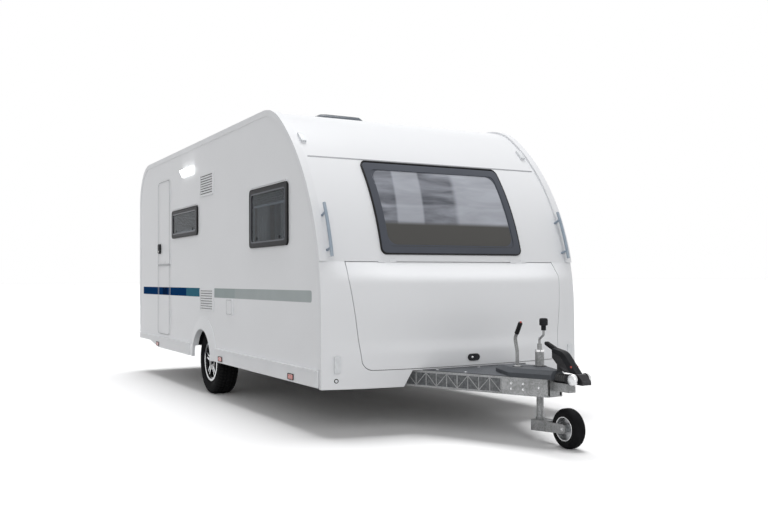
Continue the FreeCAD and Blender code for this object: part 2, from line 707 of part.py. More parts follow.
def cassette_hinge():
    """One hinge on the lower edge of the cassette door."""
    middle = "cassette_x + cassette_wide / 2"
    y = "side_y + hinge_proud"
    pins, knuckle, bore, _ = hinge("cassette_hinge", "X", middle, y, "cassette_low")
    fixed = list(pins)
    for label, start in (("_left", "-1.5 * knuckle_long"), ("_right", "knuckle_long / 2 + knuckle_gap")):
        fixed.append(box("cassette_leaf" + label, f"{middle} + {start}", "side_y",
                         "cassette_low - leaf_long", "knuckle_long - knuckle_gap", "hinge_proud",
                         "leaf_long"))
    arm = box("cassette_arm", f"{middle} - knuckle_long / 2", "side_y", "cassette_low", "knuckle_long",
              "hinge_proud", "leaf_long")
    return fixed, [knuckle, arm], [bore]


def side_walls(door_fixed, cassette_fixed):
    holes = [window_rect(*window, D.window_lap) for window in right_windows()]
    panel = prism("right_panel", "XZ", "-side_y", "panel_thick", wall_loop(), door_rect(0), *holes)
    node("side_wall_right", fuse("right_wall", panel, *door_fixed))
    holes = [window_rect(*window, D.window_lap) for window in left_windows()]
    panel = prism("left_panel", "XZ", "inner_y", "panel_thick", wall_loop(), cassette_rect(0), *holes)
    node("side_wall_left", fuse("left_wall", panel, *cassette_fixed))


def light_rects(inset):
    """The roof lights' outlines, drawn in by a distance."""
    large = rect(D.light_x + inset, D.light_y + inset, D.light_long - 2 * inset,
                 D.light_wide - 2 * inset, D.light_bend - inset / 2)
    small = rect(D.small_light_x + inset, D.small_light_y + inset, D.small_light_long - 2 * inset,
                 D.small_light_wide - 2 * inset, D.light_bend - inset / 2)
    return large, small


def roof():
    shell = prism("roof_shell", "XZ", "-inner_y", "2 * inner_y",
                  band(0, -D.panel_thick, D.roof_joint_high, D.tail_z))
    holes = [prism(f"roof_hole_{index}", "XY", "roof_high - 2 * panel_thick", "3 * panel_thick", loop)
             for index, loop in enumerate(light_rects(D.light_frame))]
    node("roof_panel", cut("roof_cut", shell, *holes))
    frames, domes = [], []
    for index, (outer, inner) in enumerate(zip(light_rects(0), light_rects(D.light_frame))):
        frames.append(prism(f"light_frame_{index}", "XY", "roof_high", "light_frame_high", outer, inner))
        domes.append(prism(f"light_dome_{index}", "XY", "roof_high + light_frame_high", "dome_high",
                           outer, taper=-D.dome_taper))
    node("roof_light_frames", group("light_frames", *frames))
    node("roof_light_domes", group("light_domes", *domes))


def front_rect(inset):
    """The front window seen from ahead, drawn in by a distance."""
    return rect(-D.front_half + inset, D.front_low + inset, 2 * (D.front_half - inset),
                D.front_top - D.front_low - 2 * inset, D.front_bend)


def front_wall(hinge_fixed):
    shell = prism("front_shell", "XZ", "-inner_y", "2 * inner_y",
                  joined([arc(sweep_centre(), D.front_sweep, sweep_angle(D.nose_high),
                              sweep_angle(D.roof_joint_high))],
                         [arc(sweep_centre(), D.front_sweep - D.panel_thick,
                              sweep_angle(D.roof_joint_high, -D.panel_thick),
                              sweep_angle(D.nose_high, -D.panel_thick))]))
    hole = prism("front_hole", "YZ", "sweep_x", "2 * front_sweep", front_rect(D.window_lap))
    node("front_wall", fuse("front_panel", cut("front_cut", shell, hole), *hinge_fixed))
    over = prism("front_frame_band", "XZ", "-inner_y", "2 * inner_y",
                 sweep_patch(D.window_proud, 0, D.front_low - D.front_border, D.front_top + D.front_border))
    ring = prism("front_frame_ring", "YZ", "sweep_x", "2 * front_sweep", front_rect(0),
                 front_rect(D.front_border))
    node("front_window_frame", common("front_frame", over, ring))
    sheet = prism("front_pane_band", "XZ", "-inner_y", "2 * inner_y",
                  sweep_patch(D.window_proud - D.pane_inset, D.window_proud - D.pane_inset - D.pane_thick,
                              D.front_low - D.front_border, D.front_top + D.front_border))
    inside = prism("front_pane_edge", "YZ", "sweep_x", "2 * front_sweep", front_rect(D.front_border))
    node("front_window_pane", common("front_pane", sheet, inside))


def side_windows():
    frames, panes = [], []
    pane_low = "window_proud - pane_inset - pane_thick"
    for side, windows in (("right", right_windows()), ("left", left_windows())):
        for index, window in enumerate(windows):
            outer, inner = window_rect(*window, 0), window_rect(*window, D.window_border)
            frame_low = "-side_y - window_proud" if side == "right" else "side_y"
            glass_low = f"-side_y - ({pane_low}) - pane_thick" if side == "right" else f"side_y + {pane_low}"
            frames.append(prism(f"{side}_frame_{index}", "XZ", frame_low, "window_proud", outer, inner))
            panes.append(prism(f"{side}_pane_{index}", "XZ", glass_low, "pane_thick", inner))
    return frames, panes


def rear_rect(inset):
    return rect(-D.rear_window_half + inset, D.rear_window_low + inset, 2 * (D.rear_window_half - inset),
                D.rear_window_top - D.rear_window_low - 2 * inset, D.window_bend)


def rear_wall():
    edge = polygon([(-D.inner_y, D.wall_low), (D.inner_y, D.wall_low), (D.inner_y, D.tail_z),
                    (-D.inner_y, D.tail_z)])
    node("rear_wall", prism("rear_panel", "YZ", "rear_x", "panel_thick", edge, rear_rect(D.window_lap)))
    frames, panes = side_windows()
    frames.append(prism("rear_frame", "YZ", "rear_x - window_proud", "window_proud", rear_rect(0),
                        rear_rect(D.window_border)))
    panes.append(prism("rear_pane", "YZ", "rear_x - window_proud + pane_inset", "pane_thick",
                       rear_rect(D.window_border)))
    node("window_frames", group("frames", *frames))
    node("window_panes", group("panes", *panes))


def housing_loop(grow, low):
    """A wheel housing's arch, seen from the side."""
    half = D.housing_half + grow
    top = D.housing_high + grow
    bend = D.housing_corner + grow
    return polygon([(D.axle_x - half, low), (D.axle_x + half, low), (D.axle_x + half, top),
                    (D.axle_x - half, top)], [0, 0, bend, bend])


def floor():
    bow = Part.Arc(point(D.front_x - D.panel_thick, -D.inner_y),
                   point(D.front_x - D.panel_thick + D.locker_bow, 0),
                   point(D.front_x - D.panel_thick, D.inner_y))
    middle = bow.value((bow.FirstParameter + bow.LastParameter) / 2)
    edge = joined([line(point(D.cabin_rear_x, -D.inner_y), point(D.front_x - D.panel_thick, -D.inner_y)),
                   ("arc", bow.StartPoint, middle, bow.EndPoint)],
                  [line(point(D.front_x - D.panel_thick, D.inner_y), point(D.cabin_rear_x, D.inner_y))])
    deck = prism("floor_deck", "XY", "wall_low", "floor_thick", edge)
    wells = [box(f"floor_well_{side}", "axle_x - housing_half", y, "wall_low - cut_over",
                 "2 * housing_half", "housing_deep + cut_over", "floor_thick + 2 * cut_over")
             for side, y in (("right", "-inner_y - cut_over"), ("left", "inner_y - housing_deep"))]
    node("floor_panel", cut("floor_cut", deck, *wells))


def wheel_housings():
    outer = prism("housing_outer", "XZ", "inner_y - housing_deep", "housing_deep - seat_gap",
                  housing_loop(0, D.wall_low))
    inner = prism("housing_inner", "XZ", "inner_y - housing_deep + housing_thick", "housing_deep",
                  housing_loop(-D.housing_thick, D.wall_low - D.cut_over))
    left = cut("housing_left", outer, inner)
    node("wheel_housings", group("housings", left, mirror("housing_right", left)))


def bulkhead():
    panel = box("bulkhead_panel", "bulkhead_x", "-inner_y", "floor_top", "bulkhead_thick", "2 * inner_y",
                "nose_high - floor_top")
    shelf = prism("locker_shelf", "XZ", "-inner_y", "2 * inner_y",
                  rect(D.bulkhead_x, D.nose_high - D.shelf_thick,
                       sweep_x_at(D.nose_high) - D.nose_thick - D.seat_gap - D.bulkhead_x, D.shelf_thick))
    node("locker_bulkhead", fuse("bulkhead", panel, shelf))


# Nose: moulding and gas locker hatch

def nose_levels():
    return [(D.nose_low, D.nose_low_reach), (D.band_low_high, D.band_low_reach),
            (D.ledge_high, D.ledge_reach), (D.ledge_top_high, D.ledge_top_reach),
            (D.belly_high, D.belly_reach), (D.shoulder_high, D.shoulder_reach), (D.nose_high, 0)]


def level_reach(height):
    """The nose's reach between its levels, along straight lines."""
    levels = nose_levels()
    for (low, low_reach), (high, high_reach) in zip(levels, levels[1:]):
        if height <= high:
            return low_reach + (high_reach - low_reach) * (height - low) / (high - low)
    return 0


def nose_reach(height):
    """The nose's reach with its creases rounded, as a mean over a short height."""
    samples = 9
    spread = min(D.nose_blend, height - D.nose_low, D.nose_high - height)
    steps = [spread * (2 * index / (samples - 1) - 1) for index in range(samples)]
    return sum(level_reach(height + step) for step in steps) / samples


def nose_surface_x(across, height):
    """Where the nose's outer surface lies: bowed in plan and creased in height."""
    fullness = 2.8
    side = D.front_x if height < D.front_sweep_low else sweep_x_at(height)
    return side + nose_reach(height) * (1 - abs(across / D.side_y) ** fullness)


def foremost(across, low, high):
    """How far ahead the nose reaches over a height that starts at low and is high long."""
    quarters = 4
    return max(nose_surface_x(across, low + high * step / quarters) for step in range(quarters + 1))


def nose_skin():
    """The nose's outer face, thickened back along X."""
    half_shares = (0, 0.2, 0.4, 0.58, 0.72, 0.84, 0.93, 1)
    across = [-share * D.side_y for share in half_shares[:0:-1]] + [share * D.side_y for share in half_shares]
    levels = nose_levels()
    heights = []
    for (low, _), (high, _) in zip(levels, levels[1:]):
        count = max(2, round((high - low) / D.nose_blend))
        heights += [low + (high - low) * index / count for index in range(count)]
    heights.append(D.nose_high)
    grid = [[Vector(nose_surface_x(y, z), y, z) for z in heights] for y in across]
    surface = Part.BSplineSurface()
    surface.interpolate(grid)
    return surface.toShape().extrude(Vector(-D.nose_thick, 0, 0))


def hatch_loop(grow):
    """The hatch's edge seen from ahead, grown by a distance on its sides and bottom."""
    top = D.nose_high - D.moving_gap if grow == 0 else D.nose_high + D.cut_over
    low = D.hatch_low - grow
    corner_half = D.hatch_low_half + grow
    return polygon([(-corner_half, low), (corner_half, low), (D.hatch_wide_half + grow, D.shoulder_high),
                    (D.hatch_top_half + grow, top), (-D.hatch_top_half - grow, top),
                    (-D.hatch_wide_half - grow, D.shoulder_high)],
                   [D.hatch_bend + grow, D.hatch_bend + grow, 0, 0, 0, 0])


def hatch_hinges():
    """Two hinges on the hatch's upper edge."""
    fixed, moving, bores = [], [], []
    wall_x = sweep_x_at(D.nose_high)
    x = f"{wall_x} + hatch_hinge_out"
    z = "nose_high - hatch_hinge_out"
    for side, sign in (("right", "-"), ("left", "")):
        name = f"hatch_hinge_{side}"
        y = f"{sign}hatch_hinge_y"
        pins, knuckle, bore, pockets = hinge(name, "Y", x, y, z)
        fixed += pins
        for label, start in (("_a", "-1.5 * knuckle_long"), ("_b", "knuckle_long / 2 + knuckle_gap")):
            fixed.append(box(name + "_leaf" + label, f"{x} - leaf_long / 2", f"{y} + {start}",
                             "nose_high", "leaf_long / 2", "knuckle_long - knuckle_gap", "leaf_long"))
        moving += [knuckle, box(name + "_arm", f"{x} - knuckle_radius", f"{y} - knuckle_long / 2",
                                f"{z} - leaf_long", "2 * knuckle_radius", "knuckle_long", "leaf_long")]
        bores += [bore] + pockets
    return fixed, moving, bores


def nose(moving, bores):
    skin = shaped("nose_skin", nose_skin())
    opening = prism("hatch_opening", "YZ", "front_x - front_sweep", "2 * front_sweep",
                    hatch_loop(D.moving_gap))
    notch = prism("drawbar_notch", "YZ", "front_x - front_sweep", "2 * front_sweep",
                  polygon([(-D.notch_low_half, D.nose_low - D.cut_over),
                           (D.notch_low_half, D.nose_low - D.cut_over),
                           (D.notch_low_half, D.nose_low), (D.notch_half, D.notch_high),
                           (-D.notch_half, D.notch_high), (-D.notch_low_half, D.nose_low)]))
    node("front_moulding", cut("nose_moulding", skin, opening, notch))
    edge = prism("hatch_edge", "YZ", "front_x - front_sweep", "2 * front_sweep", hatch_loop(0))
    panel = common("hatch_panel", skin, edge)
    node("locker_hatch", cut("hatch", fuse("hatch_joined", panel, *moving), *bores))
    latch_back = f"{foremost(0, D.latch_z - D.latch_high_size / 2, D.latch_high_size)} + seat_gap"
    node("hatch_latch", prism("latch", "YZ", latch_back, "latch_thick",
                              rect(-D.latch_wide / 2, D.latch_z - D.latch_high_size / 2, D.latch_wide,
                                   D.latch_high_size, D.latch_high_size / 2 - D.running_gap)))


# Doors

def doors(door_moving, door_bores, cassette_moving, cassette_bores):
    panel = prism("door_panel", "XZ", "-side_y", "panel_thick", door_rect(D.moving_gap))
    node("entrance_door", cut("door", fuse("door_joined", panel, *door_moving), *door_bores))
    grip = rect(D.handle_x - D.handle_wide / 2, D.handle_z - D.handle_high_size / 2, D.handle_wide,
                D.handle_high_size, D.handle_wide / 2 - D.running_gap)
    node("door_handle", prism("handle", "XZ", "-side_y - handle_thick", "handle_thick", grip))
    flap = prism("cassette_panel", "XZ", "inner_y", "panel_thick", cassette_rect(D.moving_gap))
    lock = cylinder("cassette_lock", "Y", "lock_radius", "lock_thick", "cassette_x + cassette_wide / 2",
                    "side_y", "cassette_low + cassette_high - 3 * lock_radius")
    node("cassette_door", cut("cassette", fuse("cassette_joined", flap, lock, *cassette_moving),
                              *cassette_bores))


# Trim on the body

def edge_rails():
    low = D.nose_high + D.seat_gap
    top = prism("edge_top", "XZ", "side_y - edge_wide", "edge_wide + edge_flange_thick",
                band(D.edge_proud, D.seat_gap, low, D.tail_moulding_top + D.seat_gap))
    side = prism("edge_side", "XZ", "side_y", "edge_flange_thick",
                 band(D.seat_gap, -D.edge_flange, D.edge_low, D.edge_tail_low))
    left = fuse("edge_left", top, side)
    node("edge_rails", group("edges", left, mirror("edge_right", left)))


def skirt_loop(low, high, start, end):
    return polygon([(start, low), (end, low), (end, high), (start, high)])


def skirts():
    """Side skirts ahead of and behind the wheel arch, each with a lip along its top."""
    start = D.axle_x + D.arch_outer + D.skirt_arch_gap
    ahead = skirt_loop(D.skirt_low, D.skirt_top, start, D.skirt_front_x)
    back = D.axle_x - D.arch_outer - D.skirt_arch_gap
    behind = polygon([(D.skirt_tail_x, D.skirt_top), (D.skirt_tail_x, D.skirt_tail_low),
                      (D.skirt_step_x, D.skirt_tail_low), (D.skirt_step_x + D.skirt_rise, D.skirt_low),
                      (back, D.skirt_low), (back, D.skirt_top)])
    lip_low = D.skirt_top - D.skirt_lip
    pieces = []
    for label, loop, x0, x1 in (("ahead", ahead, start, D.skirt_front_x),
                                ("behind", behind, D.skirt_tail_x, back)):
        board = prism(f"skirt_{label}", "XZ", "side_y + edge_flange_thick", "skirt_proud", loop)
        lip = prism(f"skirt_lip_{label}", "XZ", "side_y + edge_flange_thick", "skirt_lip_proud",
                    skirt_loop(lip_low, D.skirt_top, x0, x1))
        seat = prism(f"skirt_seat_{label}", "XZ", "side_y", "edge_flange_thick",
                     skirt_loop(D.wall_low, D.skirt_top, max(x0, D.rear_x + 3 * D.edge_flange),
                                min(x1, D.front_x - D.nose_thick - 2 * D.edge_flange)))
        pieces.append(fuse(f"skirt_left_{label}", board, lip, seat))
    mirrored = [mirror(piece.Name + "_right", piece) for piece in pieces]
    node("side_skirts", group("skirts", *pieces, *mirrored))


def arch_trims():
    """A ring that is flush at its outer edge and stands proud at the tyre, cut off at the sill."""
    section = polygon([(D.arch_inner, 0), (D.arch_outer, 0), (D.arch_outer, D.arch_edge),
                       (D.arch_inner + D.arch_lip, D.arch_proud), (D.arch_inner, D.arch_proud)])
    ring = place(spun("arch_ring", section), "axle_x", "side_y", "arch_high")
    below = box("arch_below", "axle_x - 2 * arch_outer", "side_y - cut_over", "arch_high - 2 * arch_outer",
                "4 * arch_outer", "3 * cut_over + arch_proud", "2 * arch_outer")
    left = cut("arch_left", ring, below)
    node("arch_trims", group("arches", left, mirror("arch_right", left)))


def vents():
    """Two louvred vents of the refrigerator, on the right side."""
    plates = []
    for index, low in enumerate((D.vent_low_z, D.vent_top_z)):
        outer = rect(D.vent_x, low, D.vent_wide, D.vent_high_size, D.vent_bend)
        inside_high = D.vent_high_size - 2 * D.vent_border
        pitch = (inside_high + D.vent_slat) / D.louvre_count
        slots = [rect(D.vent_x + D.vent_border, low + D.vent_border + row * pitch,
                      D.vent_wide - 2 * D.vent_border, pitch - D.vent_slat)
                 for row in range(int(D.louvre_count))]
        plates.append(prism(f"vent_{index}", "XZ", "-side_y - vent_thick", "vent_thick", outer, *slots))
    node("refrigerator_vents", group("vents", *plates))


def side_fittings():
    flap = rect(D.flap_x, D.flap_low, D.flap_wide, D.flap_high, D.flap_bend)
    node("socket_flap", prism("flap", "XZ", "-side_y - flap_thick", "flap_thick", flap))
    wedge = polygon([(-D.side_y, D.awning_low + D.awning_high), (-D.side_y, D.awning_low),
                     (-D.side_y - D.awning_lip, D.awning_low),
                     (-D.side_y - D.awning_proud, D.awning_low + D.awning_high - D.awning_lip),
                     (-D.side_y - D.awning_proud, D.awning_low + D.awning_high)])
    node("awning_lamp", prism("lamp_wedge", "YZ", "awning_x", "awning_wide", wedge))


def marker_lamps():
    """Side markers on the skirts, clearance lamps on the brow and reflectors on the nose."""
    left = []
    for name in ("marker_rear_x", "marker_mid_x", "marker_front_x"):
        left.append(box("left_" + name[:-2], name, "side_y + edge_flange_thick + skirt_proud", "marker_z",
                        "marker_long", "marker_thick", "marker_high"))
    patch = sweep_patch(D.clearance_thick, D.seat_gap, D.clearance_z - D.clearance_long / 2,
                        D.clearance_z + D.clearance_long / 2)
    left.append(prism("left_clearance", "XZ", "side_y - clearance_inset - clearance_wide",
                      "clearance_wide", patch))
    back = foremost(D.reflector_y - D.reflector_wide / 2, D.reflector_low, D.reflector_high)
    left.append(prism("left_reflector", "YZ", f"{back} + seat_gap", "reflector_thick",
                      rect(D.reflector_y - D.reflector_wide / 2, D.reflector_low, D.reflector_wide,
                           D.reflector_high, D.reflector_thick)))
    right = [mirror(piece.Name.replace("left", "right"), piece) for piece in left]
    node("marker_lamps", group("markers", *left, *right))


def grab_handles():
    """Bars on two posts: one pair at the front corners, one pair at the rear."""
    y = D.side_y - D.grab_inset
    off = D.front_sweep + D.grab_off
    bar = piped("front_grab_bar", [arc(sweep_centre(), off, sweep_angle(D.grab_low_z),
                                       sweep_angle(D.grab_top_z))], y, D.grab_radius)
    pieces = [bar]
    for index, height in enumerate((D.grab_low_z + D.post_inset, D.grab_top_z - D.post_inset)):
        angle = sweep_angle(height)
        foot = turn(sweep_centre(), D.front_sweep + D.seat_gap, angle)
        post = Part.makeCylinder(D.post_radius, D.grab_off - D.seat_gap, Vector(foot.x, y, foot.y),
                                 Vector(math.cos(angle), 0, math.sin(angle)))
        pieces.append(shaped(f"front_grab_post_{index}", post))
    front = fuse("front_grab", *pieces)
    rear_bar = cylinder("rear_grab_bar", "Z", "grab_radius", "rear_grab_top - rear_grab_low",
                        "rear_x - rear_grab_off", "side_y - 2 * grab_inset", "rear_grab_low")
    posts = [cylinder(f"rear_grab_post_{index}", "X", "post_radius", "rear_grab_off",
                      "rear_x - rear_grab_off", "side_y - 2 * grab_inset", height)
             for index, height in enumerate(("rear_grab_low + post_inset", "rear_grab_top - post_inset"))]
    rear = fuse("rear_grab", rear_bar, *posts)
    node("grab_handles", group("grabs", front, rear, mirror("front_grab_right", front),
                               mirror("rear_grab_right", rear)))


# Tail

def tail():
    """The moulded panel across the tail, its lamps and the blank number plate."""
    half = D.side_y - D.tail_moulding_inset
    edge = rect(-half, D.tail_moulding_low, 2 * half, D.tail_moulding_top - D.tail_moulding_low,
                D.tail_moulding_bend)
    sides = (-D.lamp_y - D.lamp_wide, D.lamp_y)
    pockets = [rect(y, D.lamp_low, D.lamp_wide, D.lamp_high, D.lamp_bend) for y in sides]
    node("rear_moulding", prism("tail_moulding", "YZ", "rear_x - rear_proud", "rear_proud", edge, *pockets))
    lamps = [prism(f"rear_lamp_{index}", "YZ", "rear_x - rear_proud", "lamp_depth", pocket)
             for index, pocket in enumerate(pockets)]
    lamps.append(box("brake_lamp", "rear_x - lamp_proud", "-brake_lamp_wide / 2",
                     "tail_z - 3 * brake_lamp_high", "lamp_proud", "brake_lamp_wide", "brake_lamp_high"))
    node("rear_lamps", group("lamps", *lamps))


# Chassis

def rail_section(outer):
    """A channel that opens inward, seen along the caravan."""
    inner = outer - D.rail_wide
    top, low, web = D.wall_low, D.rail_low, D.rail_web
    return polygon([(outer, low), (outer, top), (inner, top), (inner, top - web), (outer - web, top - web),
                    (outer - web, low + web), (inner, low + web), (inner, low)])


def steady_places():
    """Each steady's name, pivot and the direction it folds out."""
    for end, x, way in (("rear", "steady_rear_x", -1), ("front", "steady_front_x", 1)):
        for side, sign in (("right", -1), ("left", 1)):
            yield f"{end}_{side}", x, sign, way


def chassis_frame():
    rails = [prism("rail_left", "YZ", "rear_x + rail_rear_in", "frame_joint_x - rear_x - rail_rear_in",
                   rail_section(D.rail_half + D.rail_wide / 2))]
    rails.append(mirror("rail_right", rails[0]))
    pieces = list(rails)
    for index, x in enumerate(("steady_rear_x", "steady_front_x")):
        pieces.append(box(f"cross_member_{index}", f"{x} - cross_long / 2", "-cross_half",
                          "wall_low - cross_high", "cross_long", "2 * cross_half", "cross_high"))
    for label, x, sign, way in steady_places():
        inside = "steady_wide / 2 + seat_gap"
        for lug, start in (("near", f"{inside}"), ("far", f"-({inside}) - steady_lug_thick")):
            y = f"{sign} * steady_y + {start}"
            pieces.append(box(f"lug_{lug}_{label}", f"{x} - steady_lug_radius", y, "steady_z",
                              "2 * steady_lug_radius", "steady_lug_thick",
                              "wall_low - cross_high - steady_z"))
            pieces.append(cylinder(f"lug_end_{lug}_{label}", "Y", "steady_lug_radius", "steady_lug_thick",
                                   x, y, "steady_z"))
        pieces.append(cylinder(f"lug_pin_{label}", "Y", "steady_pin_radius",
                               "steady_wide + 2 * seat_gap + 2 * steady_lug_thick", x,
                               f"{sign} * steady_y - steady_wide / 2 - seat_gap - steady_lug_thick",
                               "steady_z"))
    node("chassis_frame", fuse("frame", *pieces))


def steadies():
    """Corner steadies: tapered channels, open upward, with a round foot, folded flat under the floor."""
    for label, x, sign, way in steady_places():
        name = f"steady_{label}"
        across = f"{sign} * steady_y - steady_wide / 2"
        pivot = D.steady_rear_x if x == "steady_rear_x" else D.steady_front_x
        tip = pivot + way * D.steady_long
        low = D.steady_z - D.steady_root_high / 2
        side = polygon([(pivot, low), (tip, low), (tip, low + D.steady_tip_high),
                        (pivot, low + D.steady_root_high)])
        leg = prism(name + "_leg", "XZ", across, "steady_wide", side)
        eye = cylinder(name + "_eye", "Y", "steady_root_high / 2", "steady_wide", x, across, "steady_z")
        hollow = box(name + "_hollow", f"{x} + {way} * steady_root_high" if way > 0
                     else f"{x} - steady_root_high - steady_long", f"{across} + steady_wall",
                     "steady_z - steady_root_high / 2 + steady_wall", "steady_long",
                     "steady_wide - 2 * steady_wall", "steady_root_high")
        foot = cylinder(name + "_foot", "Z", "steady_foot_radius", "steady_foot_thick",
                        f"{x} + {way} * (steady_long - steady_foot_radius)", f"{sign} * steady_y",
                        "steady_z - steady_root_high / 2 - steady_foot_thick")
        bore = cylinder(name + "_bore", "Y", "steady_pin_radius + running_gap",
                        "steady_wide + 2 * cut_over", x, f"{across} - cut_over", "steady_z")
        node(name, cut(name + "_bored", fuse(name + "_whole", leg, eye, foot), hollow, bore))


def arm_half_at(x):
    """Half the drawbar's outer width at one place along it."""
    return D.arm_end_half + D.arm_slope * (D.arm_end_x - x)


def arm_strip(inset, wide, start, end):
    """A strip along one drawbar arm, seen from above."""
    lean = math.sqrt(1 + D.arm_slope ** 2)
    outer, inner = inset * lean, (inset + wide) * lean
    return polygon([(start, arm_half_at(start) - outer), (end, arm_half_at(end) - outer),
                    (end, arm_half_at(end) - inner), (start, arm_half_at(start) - inner)])


def drawbar():
    """Two channels that meet at the head, joined there by two plates with the jockey tube's holes."""
    start, end = D.frame_joint_x, D.arm_end_x
    web = prism("arm_web", "XY", "rail_low", "wall_low - rail_low", arm_strip(0, D.drawbar_web, start, end))
    low = prism("arm_low", "XY", "rail_low", "drawbar_web", arm_strip(0, D.drawbar_flange, start, end))
    top = prism("arm_top", "XY", "wall_low - drawbar_web", "drawbar_web",
                arm_strip(0, D.drawbar_flange, start, end))
    left = fuse("arm_left", web, low, top)
    pieces = [left, mirror("arm_right", left)]
    plan = polygon([(D.head_back_x, -arm_half_at(D.head_back_x)), (end, -D.arm_end_half),
                    (end, D.arm_end_half), (D.head_back_x, arm_half_at(D.head_back_x))])
    hole = circle(D.jockey_x, D.jockey_y, D.outer_tube_radius + D.seat_gap)
    for label, level in (("low", "rail_low"), ("top", "wall_low - drawbar_web")):
        pieces.append(prism("head_plate_" + label, "XY", level, "drawbar_web", plan))
    bore = prism("jockey_hole", "XY", "rail_low - cut_over", "wall_low - rail_low + 2 * cut_over", hole)
    node("drawbar", cut("drawbar_bored", fuse("drawbar_arms", *pieces), bore))


def axle():
    tube = cylinder("axle_tube", "Y", "axle_tube_radius", "2 * axle_tube_half", "axle_tube_x",
                    "-axle_tube_half", "axle_tube_z")
    saddles = [box(f"saddle_{side}", "axle_tube_x - saddle_long / 2",
                   f"{sign}rail_half - rail_wide / 2", "axle_tube_z", "saddle_long", "rail_wide",
                   "axle_tube_radius") for side, sign in (("left", ""), ("right", "-"))]
    node("axle_tube", fuse("axle", tube, *saddles))


def trailing_arms():
    """Arms from the axle tube back to the stub axles, each with its brake's backplate."""
    pivot = (D.axle_tube_x, D.axle_tube_z)
    hub = (D.axle_x, D.tyre_radius)
    lean = math.atan2(hub[1] - pivot[1], hub[0] - pivot[0])
    side = lean - math.pi / 2
    start, end = point(*pivot), point(*hub)
    loop = joined([arc(end, D.arm_radius, side, side + math.pi)],
                  [arc(start, D.arm_radius, side + math.pi, side + 2 * math.pi)])
    arm = prism("arm_plate", "XZ", "axle_tube_half", "arm_thick", loop)
    plate = cylinder("backplate", "Y", "drum_radius", "backplate_thick", "axle_x",
                     "axle_tube_half + arm_thick", "tyre_radius")
    stub = cylinder("stub_axle", "Y", "stub_radius", "stub_long + backplate_thick", "axle_x",
                    "axle_tube_half + arm_thick", "tyre_radius")
    left = fuse("trailing_left", arm, plate, stub)
    node("trailing_arms", group("trailing", left, mirror("trailing_right", left)))


# Road wheels

def tyre_section(outer, rim, wide, tread, drop, bead, bead_top):
    """A tyre's outline: its beads between the flanges, bulging walls, shoulders and tread."""
    shoulder = outer - drop
    bulge = (bead_top + shoulder) / 2
    sides = [(rim, -bead / 2), (bead_top, -bead / 2), (bulge, -wide / 2), (shoulder, -wide / 2),
             (outer, -tread / 2), (outer, tread / 2), (shoulder, wide / 2), (bulge, wide / 2),
             (bead_top, bead / 2), (rim, bead / 2)]
    return polygon(sides, [0, drop / 3, drop, drop, drop / 2, drop / 2, drop, drop, drop / 3, 0])


def road_wheels():
    middle = "tyre_outer_y - tyre_wide / 2"
    tyre = place(spun("tyre_body", tyre_section(D.tyre_radius, D.rim_radius + D.seat_gap, D.tyre_wide,
                                                D.tread_wide, D.shoulder_drop, D.bead_wide,
                                                D.flange_radius + D.flange_thick)),
                 "axle_x", middle, "tyre_radius")
    node("tyre_left", tyre)
    node("tyre_right", mirror("tyre_mirrored", tyre))
    rim = wheel_rim()
    node("rim_left", rim)
    node("rim_right", mirror("rim_mirrored", rim))


def spoke_loops():
    """The wheel's openings between five twin spokes, seen from the side."""
    count = int(D.spoke_count)
    inner, outer = D.hub_radius, D.rim_radius - 3 * D.barrel_thick
    loops = []
    for index in range(count):
        middle = math.pi * (2 * index + 1) / count + math.pi / 2
        half_in = math.pi / count - D.spoke_root / inner / 2
        half_out = math.pi / count - D.spoke_tip / outer / 2
        root = inner + D.spoke_gap
        loops.append(joined([arc(point(0, 0), outer, middle - half_out, middle + half_out)],
                            [arc(point(0, 0), root, middle + half_in, middle - half_in)]))
        spoke = middle + math.pi / count
        along = point(math.cos(spoke), math.sin(spoke))
        across = point(-math.sin(spoke), math.cos(spoke)) / 2
        near, far = along * D.spoke_slot_start, along * outer
        corners = [near + across * D.spoke_slot, far + across * D.spoke_slot_end,
                   far - across * D.spoke_slot_end, near - across * D.spoke_slot]
        loops.append(polygon([(corner.x, corner.y) for corner in corners]))
    return loops


